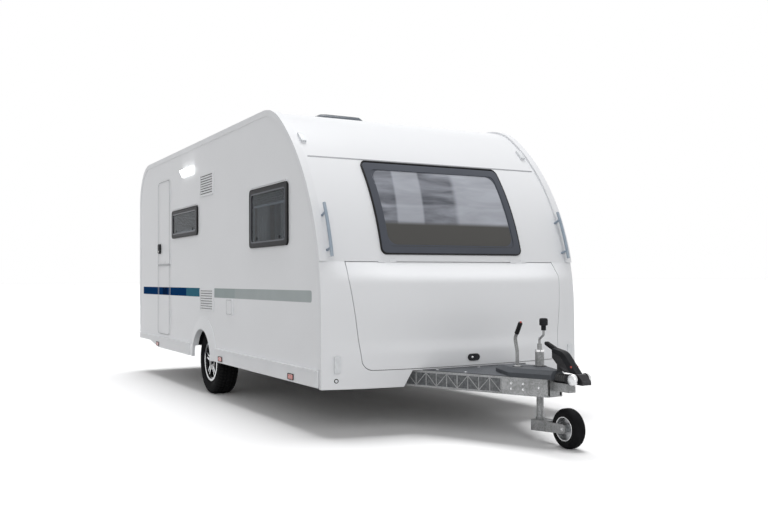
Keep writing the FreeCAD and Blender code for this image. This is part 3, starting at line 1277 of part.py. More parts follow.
def wheel_rim():
    """The left wheel: barrel, spoked face, hub and brake drum."""
    face = D.tyre_wide / 2 - D.rim_edge_inset
    back = -D.tyre_wide / 2 + D.rim_edge_inset
    rim, thick = D.rim_radius, D.barrel_thick
    barrel = polygon([(rim - thick, back), (D.flange_radius, back), (D.flange_radius, back + thick),
                      (rim, back + thick), (rim, face - thick), (D.flange_radius, face - thick),
                      (D.flange_radius, face), (rim - thick, face)])
    middle = "tyre_outer_y - tyre_wide / 2"
    pieces = [place(spun("rim_barrel", barrel), "axle_x", middle, "tyre_radius")]
    disc = [circle(0, 0, rim - thick / 2)] + spoke_loops()
    face_low = f"{face} - spoke_thick - spoke_dish / 2"
    spokes = prism("rim_spokes", "XZ", face_low, "spoke_thick", *disc)
    pieces.append(place(spokes, "axle_x", middle, "tyre_radius"))
    pieces.append(cylinder("rim_hub", "Y", "hub_radius", "spoke_thick + spoke_dish / 2", "axle_x",
                           f"{middle} + {face_low} - spoke_dish / 2", "tyre_radius"))
    pieces.append(cylinder("rim_cap", "Y", "hub_cap_radius", "spoke_thick + spoke_dish", "axle_x",
                           f"{middle} + {face_low} - spoke_dish / 2", "tyre_radius"))
    drum_low = "axle_tube_half + arm_thick + backplate_thick + moving_gap"
    pieces.append(cylinder("drum", "Y", "drum_radius", "drum_thick", "axle_x", drum_low, "tyre_radius"))
    pieces.append(cylinder("hub_sleeve", "Y", "hub_radius",
                           f"{middle} + {face_low} + spoke_thick / 2 - ({drum_low})",
                           "axle_x", drum_low, "tyre_radius"))
    bore = cylinder("hub_bore", "Y", "stub_radius + running_gap",
                    "stub_long + 2 * moving_gap", "axle_x", "axle_tube_half + arm_thick", "tyre_radius")
    return cut("rim", fuse("rim_joined", *pieces), bore)


# Drawbar fittings

def cover():
    """A flat cover between the arms, with a raised box over the overrun unit."""
    plan = polygon([(D.cover_back_x, -D.cover_back_half), (D.cover_front_x, -D.cover_front_half),
                    (D.cover_front_x, D.cover_front_half), (D.cover_back_x, D.cover_back_half)])
    sheet = prism("cover_sheet", "XY", "wall_low", "cover_thick", plan)
    raised = polygon([(D.cover_hump_x, -D.cover_hump_back_half),
                      (D.cover_front_x, -D.cover_front_half), (D.cover_front_x, D.cover_front_half),
                      (D.cover_hump_x, D.cover_hump_back_half)])
    hump = prism("cover_hump", "XY", "wall_low", "cover_hump_high", raised, taper=-D.cover_taper)
    tools = [cylinder("cover_jockey_hole", "Z", "collar_radius + cover_clear", "roof_high", "jockey_x",
                      "jockey_y", "rail_low"),
             box("cover_rod_slot", "rod_back_x - cover_clear", "-rod_block_half - cover_clear", "rail_low",
                 "cover_front_x - rod_back_x + 2 * cut_over", "2 * (rod_block_half + cover_clear)",
                 "roof_high"),
             cylinder("cover_lever_hole", "Z", "lever_foot_radius + cover_clear", "roof_high", "lever_x",
                      "lever_y", "rail_low")]
    node("drawbar_cover", cut("cover", fuse("cover_joined", sheet, hump), *tools))


def overrun():
    """The overrun housing between the arms, its square stub tube and the push rod in its bellows."""
    gap = D.drawbar_web
    housing = box("overrun_housing", "overrun_back_x", "-overrun_half", f"rail_low + {gap}",
                  "arm_end_x - overrun_back_x", "2 * overrun_half", f"wall_low - rail_low - 2 * {gap}")
    stub = box("stub_tube", "arm_end_x", "-stub_tube_half", "stub_tube_low",
               "stub_tube_front_x - arm_end_x", "2 * stub_tube_half", "stub_tube_top - stub_tube_low")
    post = box("rod_block", "arm_end_x", "-rod_block_half", "stub_tube_low", "bellows_back_x - arm_end_x",
               "2 * rod_block_half", "rod_z + rod_block_half - stub_tube_low")
    node("overrun_unit", fuse("overrun", housing, stub, post))
    pitch = (D.bellows_front_x - D.bellows_back_x) / D.bellows_folds
    profile = [(D.rod_radius + D.seat_gap, 0)]
    for fold in range(int(D.bellows_folds)):
        profile.append((D.bellows_radius - D.bellows_fold, fold * pitch))
        profile.append((D.bellows_radius, (fold + 0.5) * pitch))
    profile += [(D.bellows_radius - D.bellows_fold, D.bellows_folds * pitch),
                (D.rod_radius + D.seat_gap, D.bellows_folds * pitch)]
    sleeve = spun("bellows_sleeve", polygon(profile))
    sleeve.Placement = Placement(Vector(), Rotation(Vector(0, 1, 0), Vector(1, 0, 0)))
    node("overrun_bellows", place(sleeve, "bellows_back_x + seat_gap", "0", "rod_z"))


def coupling():
    """The coupling head over its ball, with a friction knob on each side."""
    side = polygon([(D.rod_front_x, D.rod_z - D.head_neck_half), (D.ball_x - D.ball_radius, D.head_low),
                    (D.nose_x, D.head_low), (D.nose_x, D.rod_z), (D.ball_x + D.ball_radius, D.head_top),
                    (D.ball_x - D.ball_radius, D.head_top), (D.rod_front_x, D.rod_z + D.head_neck_half)],
                   [0, 0, D.bellows_fold, D.cut_over, D.cut_over, D.cut_over, 0])
    head = prism("head_block", "XZ", "-head_half", "2 * head_half", side)
    pieces = [head]
    for label, sign in (("left", 1), ("right", -1)):
        post_y = "head_half" if sign > 0 else "-head_half - knob_post_long"
        knob_y = "head_half + knob_post_long" if sign > 0 else "-head_half - knob_post_long - knob_thick"
        pieces.append(cylinder(f"knob_post_{label}", "Y", "knob_post_radius", "knob_post_long", "ball_x",
                               post_y, "knob_z"))
        pieces.append(cylinder(f"knob_{label}", "Y", "knob_radius", "knob_thick", "ball_x", knob_y,
                               "knob_z"))
    pieces.append(cylinder("push_rod", "X", "rod_radius", "rod_front_x - bellows_back_x - seat_gap",
                           "bellows_back_x + seat_gap", "0", "rod_z"))
    seat = ball("ball_seat", "ball_radius + ball_gap", "ball_x", "0", "head_low + ball_radius / 2")
    mouth = cylinder("ball_mouth", "Z", "ball_radius + ball_gap", "ball_radius", "ball_x", "0",
                     "head_low - ball_radius / 2")
    node("coupling_head", cut("coupling", fuse("coupling_joined", *pieces), seat, mouth))


def stabiliser_handle():
    """The arched lever over the coupling head, with its grip."""
    thick = D.handle_bar_thick
    top = [(D.handle_root_x, D.head_top + D.seat_gap), (D.handle_arch_x, D.handle_arch_z),
           (D.handle_tip_x, D.handle_tip_z)]
    under = [(D.handle_tip_x, D.handle_tip_z - thick), (D.handle_arch_x - thick, D.handle_arch_z - thick),
             (D.handle_root_x - 2 * thick, D.head_top + D.seat_gap)]
    side = polygon(top + under, [0, 4 * thick, thick / 3, thick / 3, 3 * thick, 0])
    node("stabiliser_handle", prism("handle_arch", "XZ", "-handle_half", "2 * handle_half", side))


def handbrake():
    path = bent([(D.lever_x, D.lever_base), (D.lever_back_x, D.lever_bend_z),
                 (D.lever_top_x, D.lever_top_z)], D.lever_bend, False)
    bar = piped("lever_bar", path, D.lever_y, D.lever_radius)
    foot = cylinder("lever_foot", "Z", "lever_foot_radius", "lever_base + lever_foot_high - wall_low",
                    "lever_x", "lever_y", "wall_low")
    node("handbrake_lever", fuse("lever", bar, foot))


# Jockey wheel

def jockey():
    tube = cylinder("outer_tube", "Z", "outer_tube_radius", "outer_tube_top - outer_tube_low", "jockey_x",
                    "jockey_y", "outer_tube_low")
    collar = cylinder("collar", "Z", "collar_radius", "collar_high", "jockey_x", "jockey_y", "collar_low")
    neck = cylinder("neck", "Z", "neck_radius", "neck_top - outer_tube_top", "jockey_x", "jockey_y",
                    "outer_tube_top")
    bore = cylinder("outer_bore", "Z", "inner_tube_radius + running_gap",
                    "outer_tube_top - outer_tube_low - outer_tube_radius + cut_over", "jockey_x",
                    "jockey_y", "outer_tube_low - cut_over")
    node("jockey_outer_tube", cut("jockey_outer", fuse("outer_joined", tube, collar, neck), bore))
    slide = cylinder("inner_tube", "Z", "inner_tube_radius", "inner_tube_top - socket_top - seat_gap",
                     "jockey_x", "jockey_y", "socket_top + seat_gap")
    pin = cylinder("king_pin", "Z", "king_pin_radius", "socket_top + seat_gap - king_pin_low", "jockey_x",
                   "jockey_y", "king_pin_low")
    node("jockey_inner_tube", fuse("jockey_inner", slide, pin))
    crank()
    fork()
    jockey_wheel()


def crank():
    path = bent([(D.jockey_x, D.neck_top), (D.jockey_x, D.crank_bend_z),
                 (D.jockey_x + D.crank_reach, D.crank_bend_z + D.crank_reach),
                 (D.jockey_x + D.crank_reach, D.crank_top_z)], D.crank_bend, False)
    bar = piped("crank_bar", path, D.jockey_y, D.crank_radius)
    knob = cylinder("crank_knob", "Z", "crank_knob_radius", "crank_knob_top - crank_top_z",
                    "jockey_x + crank_reach", "jockey_y", "crank_top_z")
    node("jockey_crank", fuse("crank", bar, knob))


def fork():
    """Two plates from the king pin's socket forward to the wheel bolt."""
    x = D.jockey_x
    end = point(x + D.fork_reach, D.jockey_radius)
    side = joined([line(point(x - D.fork_back, D.fork_low), point(end.x, end.y - D.fork_end_radius))],
                  [arc(end, D.fork_end_radius, -math.pi / 2, math.pi / 2)],
                  [line(point(x - D.fork_back, D.fork_top), point(x - D.fork_back, D.fork_low))])
    near = "jockey_wide / 2 + fork_gap"
    pieces = [prism("fork_plate_left", "XZ", f"jockey_y + {near}", "fork_thick", side),
              prism("fork_plate_right", "XZ", f"jockey_y - ({near}) - fork_thick", "fork_thick", side)]
    pieces.append(box("fork_web", "jockey_x - fork_back", f"jockey_y - ({near})",
                      "fork_top - fork_web_thick", "fork_back + fork_web_front", f"2 * ({near})",
                      "fork_web_thick"))
    pieces.append(cylinder("fork_socket", "Z", "socket_radius", "socket_top - socket_low", "jockey_x",
                           "jockey_y", "socket_low"))
    pieces.append(cylinder("fork_bolt", "Y", "jockey_bolt_radius",
                           f"2 * ({near} + fork_thick)", "jockey_wheel_x",
                           f"jockey_y - ({near}) - fork_thick", "jockey_radius"))
    bore = cylinder("fork_bore", "Z", "king_pin_radius + running_gap", "socket_top", "jockey_x",
                    "jockey_y", "socket_low - cut_over")
    node("jockey_fork", cut("fork", fuse("fork_joined", *pieces), bore))


def jockey_wheel():
    half = D.jockey_wide / 2
    rim = D.jockey_rim_radius
    bend = D.jockey_tyre_bend
    section = polygon([(rim + D.seat_gap, -half), (D.jockey_radius, -half), (D.jockey_radius, half),
                       (rim + D.seat_gap, half)], [0, bend, bend, 0])
    node("jockey_tyre", place(spun("jockey_tyre_body", section), "jockey_wheel_x", "jockey_y",
                              "jockey_radius"))
    hub, disc, shell = D.jockey_hub_radius, D.jockey_disc, D.jockey_barrel
    bore = D.jockey_bolt_radius + D.running_gap
    outline = polygon([(bore, -half), (hub, -half), (hub, -disc / 2), (rim - shell, -disc / 2),
                       (rim - shell, -half), (rim, -half), (rim, half), (rim - shell, half),
                       (rim - shell, disc / 2), (hub, disc / 2), (hub, half), (bore, half)])
    node("jockey_rim", place(spun("jockey_rim_body", outline), "jockey_wheel_x", "jockey_y",
                             "jockey_radius"))


# Furniture seen through the windows

def dinette():
    front = "bulkhead_x - furniture_gap"
    low = "floor_top"
    sides = []
    for label, y in (("right", "-inner_y + furniture_gap"), ("left", "inner_y - furniture_gap - bench_deep")):
        sides.append(box("bench_" + label, f"{front} - bench_long - bench_deep", y, low,
                         "bench_long + bench_deep", "bench_deep", "bench_high"))
    middle = box("bench_front", f"{front} - bench_deep", "-inner_y + furniture_gap + bench_deep", low,
                 "bench_deep", "2 * (inner_y - furniture_gap - bench_deep)", "bench_high")
    bench = fuse("bench", *sides, middle)
    pads = []
    for label, y in (("right", "-inner_y + furniture_gap"), ("left", "inner_y - furniture_gap - bench_deep")):
        pads.append(box("pad_" + label, f"{front} - bench_long - bench_deep", y, "cushion_z + seat_gap",
                        "bench_long + bench_deep", "bench_deep", "cushion_thick"))
        back_y = "-inner_y + furniture_gap" if label == "right" else "inner_y - furniture_gap - back_thick"
        pads.append(box("back_" + label, f"{front} - bench_long - bench_deep", back_y,
                        "cushion_z + seat_gap", "bench_long + bench_deep", "back_thick",
                        "cushion_thick + back_high"))
    pads.append(box("pad_front", f"{front} - bench_deep", "-inner_y + furniture_gap + bench_deep",
                    "cushion_z + seat_gap", "bench_deep", "2 * (inner_y - furniture_gap - bench_deep)",
                    "cushion_thick"))
    cushions = fuse("dinette_cushions", *pads)
    top = box("table_top", "table_x", "-table_half / 2", "floor_top + table_high - table_thick",
              "table_long / 2 - furniture_gap", "table_half", "table_thick")
    leg = cylinder("table_leg", "Z", "table_leg_radius", "table_high - table_thick",
                   "table_x + table_long / 4", "0", "floor_top")
    return [bench, fuse("table", top, leg)], [cushions]


def cabinets():
    well = box("cabinet_well", "axle_x - housing_half - furniture_gap",
               "-inner_y - cut_over", "floor_top - cut_over", "2 * (housing_half + furniture_gap)",
               "housing_deep + cut_over + furniture_gap",
               "housing_high - floor_top + cut_over + furniture_gap")
    unit = box("kitchen_base", "kitchen_unit_x", "-inner_y + furniture_gap", "floor_top",
               "kitchen_unit_front_x - kitchen_unit_x", "furniture_deep", "kitchen_unit_high")
    tall = box("fridge_cabinet", "kitchen_unit_front_x", "-inner_y + furniture_gap", "floor_top",
               "fridge_front_x - kitchen_unit_front_x", "furniture_deep", "cupboard_high")
    kitchen = cut("kitchen", fuse("kitchen_joined", unit, tall), well)
    room = box("washroom", "washroom_x", "inner_y - furniture_gap - 3 * furniture_deep / 2",
               "floor_top", "washroom_long", "3 * furniture_deep / 2", "cupboard_high")
    bay = box("cassette_bay", "cassette_x", "inner_y - cassette_deep", "cassette_low",
              "cassette_wide", "cassette_deep + cut_over", "cassette_high")
    washroom = cut("washroom_cut", room, bay)
    base = box("bed_base", "cabin_rear_x + furniture_gap", "-inner_y + furniture_gap", "floor_top",
               "bed_long", "2 * (inner_y - furniture_gap)", "bed_base_high")
    locker = box("bed_locker", "cabin_rear_x + furniture_gap + bed_board_thick",
                 "-inner_y + furniture_gap + bed_board_thick", "floor_top - cut_over",
                 "bed_long - 2 * bed_board_thick", "2 * (inner_y - furniture_gap - bed_board_thick)",
                 "bed_base_high - bed_board_thick + cut_over")
    base = cut("bed_base_hollow", base, locker)
    mattress = box("mattress", "cabin_rear_x + furniture_gap", "-inner_y + furniture_gap",
                   "floor_top + bed_base_high + seat_gap", "bed_long",
                   "2 * (inner_y - furniture_gap)", "mattress_thick")
    return [kitchen, washroom, base], [mattress]


def furniture():
    """What shows through the windows: the dinette, the kitchen, the washroom and the bed."""
    seats, seat_pads = dinette()
    units, bed_pads = cabinets()
    node("furniture", group("furniture_set", *seats, *units))
    node("cushions", group("cushion_set", *seat_pads, *bed_pads))


def check_and_write():
    """Stops on a failed object or a bad shape, then writes one file for each sub-part."""
    for thing in doc.Objects:
        if any(word in ("Invalid", "Error") for word in thing.State):
            raise RuntimeError(f"{thing.Label} failed: {thing.State}")
    for name, thing in nodes.items():
        shape = thing.Shape
        if shape.isNull() or not shape.isValid() or not shape.Solids:
            raise RuntimeError(f"{name} has no valid solid")
    os.makedirs("parts", exist_ok=True)
    for name, thing in nodes.items():
        thing.Shape.exportStep(f"parts/{name}.step")


def build():
    door_fixed, door_moving, door_bores = door_hinges()
    cassette_fixed, cassette_moving, cassette_bores = cassette_hinge()
    hatch_fixed, hatch_moving, hatch_bores = hatch_hinges()
    side_walls(door_fixed, cassette_fixed)
    roof()
    front_wall(hatch_fixed)
    rear_wall()
    floor()
    wheel_housings()
    bulkhead()
    nose(hatch_moving, hatch_bores)
    doors(door_moving, door_bores, cassette_moving, cassette_bores)
    edge_rails()
    skirts()
    arch_trims()
    vents()
    side_fittings()
    marker_lamps()
    grab_handles()
    tail()
    chassis_frame()
    steadies()
    drawbar()
    axle()
    trailing_arms()
    road_wheels()
    cover()
    overrun()
    coupling()
    stabiliser_handle()
    handbrake()
    jockey()
    furniture()
    doc.recompute()
    check_and_write()


build()
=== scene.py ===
"""Looks of the travel caravan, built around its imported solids. Metres, +X forward, +Z up."""
import bmesh
import bpy
import math
from mathutils import Matrix, Vector


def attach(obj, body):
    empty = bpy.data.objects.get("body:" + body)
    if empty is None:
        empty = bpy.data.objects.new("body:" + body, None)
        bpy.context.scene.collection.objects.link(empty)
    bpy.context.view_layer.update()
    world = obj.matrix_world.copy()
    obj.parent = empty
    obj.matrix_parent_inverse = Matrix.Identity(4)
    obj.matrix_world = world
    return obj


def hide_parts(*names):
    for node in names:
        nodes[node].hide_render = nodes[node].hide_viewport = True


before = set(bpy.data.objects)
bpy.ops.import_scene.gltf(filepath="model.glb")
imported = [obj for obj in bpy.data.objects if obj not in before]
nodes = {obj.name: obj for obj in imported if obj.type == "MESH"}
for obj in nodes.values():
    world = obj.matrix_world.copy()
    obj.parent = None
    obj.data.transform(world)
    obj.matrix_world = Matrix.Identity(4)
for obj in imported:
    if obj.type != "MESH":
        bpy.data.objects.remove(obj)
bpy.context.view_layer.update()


# Sizes in metres, as in the source
SIDE, REAR, DOOR_REAR, DOOR_FRONT = 1.145, -3.305, -2.432, -1.957
AXLE_X, TYRE_R, TYRE_MID = -0.760, 0.314, 0.9875
SWEEP_X, SWEEP_Z, SWEEP_R = 0.090, 0.850, 1.850
JOCKEY_X, JOCKEY_Y, JOCKEY_REACH, JOCKEY_R, JOCKEY_HALF = 2.787, 0.085, 0.283, 0.130, 0.0425
LEVER_X, LEVER_Y = 2.718, -0.050
ARM_END, ARM_HALF, ARM_SLOPE, ARM_LOW, ARM_TOP = 3.040, 0.062, 0.4388, 0.335, 0.450
ARM_SIZE = math.hypot(1, ARM_SLOPE)
KNOB_X, KNOB_Z, HEAD_HALF, HEAD_TOP = 3.271, 0.470, 0.034, 0.505

# Strengths of the sky near the ground and overhead and of the floor, suns as (name, toward, strength, width),
# and the film's colours
LOW_SKY, HIGH_SKY, FLOOR_BOUNCE = 0.70, 0.10, 0.46
SUNS = (("key", (0.85, -0.36, 0.50), 0.85, 40), ("top", (-0.20, 0.10, 1.0), 2.55, 40))
NAVY, DEEP, TEAL, SAGE, MIST = ((0.006, 0.042, 0.135), (0.004, 0.018, 0.062), (0.048, 0.165, 0.235),
                                (0.380, 0.430, 0.435), (0.440, 0.480, 0.485))


def settle(thing, **values):
    """Sets properties of a thing and gives it back."""
    for key, value in values.items():
        setattr(thing, key, value)
    return thing


def fill(node, **values):
    """Sets a node's inputs by name, with underscores for spaces."""
    for socket, value in values.items():
        node.inputs[socket.replace("_", " ")].default_value = value


def placed(name, data):
    """A new object that shows the data."""
    thing = bpy.data.objects.new(name, data)
    bpy.context.collection.objects.link(thing)
    return thing


# Camera, floor and light

def camera():
    lens = settle(bpy.data.cameras.new("view"), sensor_width=36, lens=40.107, clip_end=500)
    eye = placed("view", lens)
    yaw, pitch, roll = 2.6318, 0.026279, -0.005512
    ahead = Vector((math.cos(pitch) * math.cos(yaw), math.cos(pitch) * math.sin(yaw), math.sin(pitch)))
    right = Vector((math.sin(yaw), -math.cos(yaw), 0))
    up = right.cross(ahead)
    leant_right = right * math.cos(roll) + up * math.sin(roll)
    leant_up = up * math.cos(roll) - right * math.sin(roll)
    eye.matrix_world = Matrix.Translation((7.34676, -3.66773, 1.10673)) @ Matrix(
        (leant_right, leant_up, -ahead)).transposed().to_4x4()
    bpy.context.scene.camera = eye


def sun(name, toward, strength, angle):
    lamp = settle(bpy.data.lights.new(name, "SUN"), energy=strength, angle=math.radians(angle))
    placed(name, lamp).rotation_euler = Vector(toward).to_track_quat("Z", "Y").to_euler()


def add(tree, kind, *links, **values):
    """A new shader node: lower-case values are its properties, the others its inputs, and links feed inputs."""
    made = tree.nodes.new("ShaderNode" + kind)
    settle(made, **{key: value for key, value in values.items() if key[0].islower()})
    fill(made, **{key: value for key, value in values.items() if not key[0].islower()})
    for socket, output in links:
        tree.links.new(output, made.inputs[socket])
    return made


def join(tree, operation, first, second):
    return add(tree, "Math", (0, first), (1, second), operation=operation).outputs[0]


def weigh(tree, first, factor, second):
    """The first value times a factor, plus the second."""
    made = add(tree, "Math", (0, first), (2, second), operation="MULTIPLY_ADD")
    made.inputs[1].default_value = factor
    return made.outputs[0]


def seen_rays(tree):
    """One where a ray comes from the eye, a mirror or glass, and zero where it only carries light."""
    path = add(tree, "LightPath").outputs
    direct = join(tree, "MAXIMUM", path["Is Camera Ray"], path["Is Glossy Ray"])
    return join(tree, "MAXIMUM", direct, path["Is Transmission Ray"])


def surroundings():
    """A sky that is brightest low down, two broad suns and a floor, all white where they are seen."""
    world = bpy.data.worlds.new("studio")
    bpy.context.scene.world = world
    world.use_nodes = True
    tree = world.node_tree
    back = tree.nodes["Background"]
    back.inputs["Color"].default_value = (1, 1, 1, 1)
    split = add(tree, "SeparateXYZ", (0, add(tree, "TexCoord").outputs["Generated"]))
    dome = add(tree, "MapRange", ("Value", split.outputs["Z"]), From_Min=0.30, From_Max=0.80,
               To_Min=LOW_SKY, To_Max=HIGH_SKY)
    level = add(tree, "Mix", ("Factor", seen_rays(tree)), ("A", dome.outputs[0]), B=1.0)
    tree.links.new(level.outputs["Result"], back.inputs["Strength"])
    for settings in SUNS:
        sun(*settings)
    mesh = bpy.data.meshes.new("floor")
    mesh.from_pydata([(-200, -200, 0), (200, -200, 0), (200, 200, 0), (-200, 200, 0)], [], [(0, 1, 2, 3)])
    floor = placed("floor", mesh)
    coat, tree, shader = blank("floor_paint")
    fill(shader, Roughness=0.9, Specular_IOR_Level=0.0)
    tone = add(tree, "Mix", ("Factor", seen_rays(tree)), data_type="RGBA",
               A=(FLOOR_BOUNCE, FLOOR_BOUNCE, FLOOR_BOUNCE, 1), B=(0.97, 0.97, 0.975, 1))
    tree.links.new(tone.outputs["Result"], shader.inputs["Base Color"])
    mesh.materials.append(coat)
    bpy.context.scene.view_settings.view_transform = "Standard"


# Materials

M = {}


def blank(name):
    """A new material, its node tree and its shader."""
    mat = bpy.data.materials.new(name)
    mat.use_nodes = True
    return mat, mat.node_tree, mat.node_tree.nodes["Principled BSDF"]


def shade(colour, factor):
    return tuple(min(1.0, channel * factor) for channel in colour[:3]) + (1,)


def ramp(tree, socket, start, end, low, high):
    """A colour that runs from low to high between two values."""
    made = add(tree, "ValToRGB", ("Fac", socket))
    for element, place, colour in zip(made.color_ramp.elements, (start, end), (low, high)):
        element.position = place
        element.color = colour
    return made.outputs["Color"]


def finish(tree, shader, tone, rough, height=None, strength=0.0, **bump):
    """Feeds the shader's colour, roughness and, where there is a height, its relief."""
    tree.links.new(tone, shader.inputs["Base Color"])
    if rough is not None:
        tree.links.new(rough, shader.inputs["Roughness"])
    if height is not None:
        made = add(tree, "Bump", ("Height", height), Strength=strength, **bump)
        tree.links.new(made.outputs[0], shader.inputs["Normal"])


def paint(name, colour, rough, spread, scale, bump, grain, metal=0.0, detail=4.0, rough_spread=0.08,
          stretch=(1, 1, 1), wear=None, worn_rough=0.3, shine=0.5, clear=0.0, **sockets):
    """A procedural finish: cloudy colour, uneven roughness, a fine grain as bump, and wear on edges."""
    mat, tree, shader = blank(name)
    spot = add(tree, "TexCoord").outputs["Object"]
    place = add(tree, "Mapping", ("Vector", spot), Scale=stretch).outputs[0]
    cloud = add(tree, "TexNoise", ("Vector", place), Scale=scale, Detail=detail)
    fine = add(tree, "TexNoise", ("Vector", place), Scale=scale * 4, Detail=3)
    tone = ramp(tree, cloud.outputs["Fac"], 0.3, 0.7, shade(colour, 1 - spread), shade(colour, 1 + spread))
    gloss = add(tree, "MapRange", ("Value", fine.outputs["Fac"]), To_Min=max(0.02, rough - rough_spread),
                To_Max=min(1.0, rough + rough_spread)).outputs[0]
    if wear:
        form = add(tree, "NewGeometry")
        edge = add(tree, "MapRange", ("Value", form.outputs["Pointiness"]), From_Min=0.52, From_Max=0.60)
        rub = join(tree, "MULTIPLY", edge.outputs[0], fine.outputs["Fac"])
        tone = add(tree, "Mix", ("Factor", rub), ("A", tone), data_type="RGBA", B=shade(wear, 1))
        tone = tone.outputs["Result"]
        gloss = add(tree, "Mix", ("Factor", rub), ("A", gloss), B=worn_rough).outputs["Result"]
    grit = add(tree, "TexNoise", ("Vector", place), Scale=grain, Detail=2)
    finish(tree, shader, tone, gloss, grit.outputs["Fac"], bump, Distance=0.002)
    fill(shader, Metallic=metal, Specular_IOR_Level=shine, Transmission_Weight=clear, **sockets)
    return mat


def speckled(name, low, high, rough, scale):
    """Hot-dip zinc: crystals of slightly different grey, with a soft sheen."""
    mat, tree, shader = blank(name)
    spot = ("Vector", add(tree, "TexCoord").outputs["Object"])
    crystal = add(tree, "TexVoronoi", spot, Scale=scale)
    cloud = add(tree, "TexNoise", spot, Scale=scale / 9, Detail=5)
    grey = add(tree, "RGBToBW", ("Color", crystal.outputs["Color"]))
    both = weigh(tree, grey.outputs[0], 0.45, cloud.outputs["Fac"])
    tone = ramp(tree, both, 0.45, 0.95, shade(low, 1), shade(high, 1))
    gloss = add(tree, "MapRange", ("Value", both), To_Min=rough - 0.1, To_Max=rough + 0.12)
    finish(tree, shader, tone, gloss.outputs[0], both, 0.12, Distance=0.001)
    fill(shader, Metallic=0.75)
    return mat


def front_glass():
    """Tinted acrylic whose colour is a painted reflection: a soft sky with streaks above a dull horizon, and
    two lighter tall fields.
    """
    mat, tree, shader = blank("front_acrylic")
    spot = add(tree, "TexCoord").outputs["Object"]
    split = add(tree, "SeparateXYZ", (0, spot)).outputs
    place = add(tree, "Mapping", ("Vector", spot), Scale=(1.0, 0.9, 5.0))
    cloud = add(tree, "TexNoise", ("Vector", place.outputs[0]), Scale=2.6, Detail=6, Distortion=0.4)
    cloud = cloud.outputs["Fac"]
    # Painted reflection of a soft sky with streaks, varying by height and side.
    sky = ramp(tree, cloud, 0.32, 0.72, (0.105, 0.112, 0.135, 1), (0.400, 0.420, 0.475, 1))

    def edge(socket, start, end):
        return add(tree, "MapRange", ("Value", socket), interpolation_type="SMOOTHSTEP", From_Min=start,
                   From_Max=end).outputs[0]

    def mix(factor, under, **over):
        return add(tree, "Mix", ("Factor", factor), ("A", under), data_type="RGBA", **over).outputs["Result"]

    # Two lighter tall fields, leaning a little: painted reflection.
    lean = weigh(tree, split["Z"], -0.16, split["Y"])
    left = join(tree, "MULTIPLY", edge(lean, -0.715, -0.690), edge(lean, -0.455, -0.480))
    painted_pale_fields = join(tree, "MAXIMUM", left, edge(lean, -0.19, -0.13))
    painted_reflection = add(tree, "Mix", ("A", mix(painted_pale_fields, sky, B=(0.640, 0.665, 0.730, 1))), ("B", sky), data_type="RGBA",
               Factor=0.45)
    # Below about 1.52 m the glass turns dark: painted reflection of a dull horizon.
    tone = mix(edge(split["Z"], 1.545, 1.505), painted_reflection.outputs["Result"], B=(0.085, 0.083, 0.078, 1))
    finish(tree, shader, tone, None, cloud, 0.02)
    fill(shader, Roughness=0.12, Specular_IOR_Level=0.25, Transmission_Weight=0.25)
    return mat


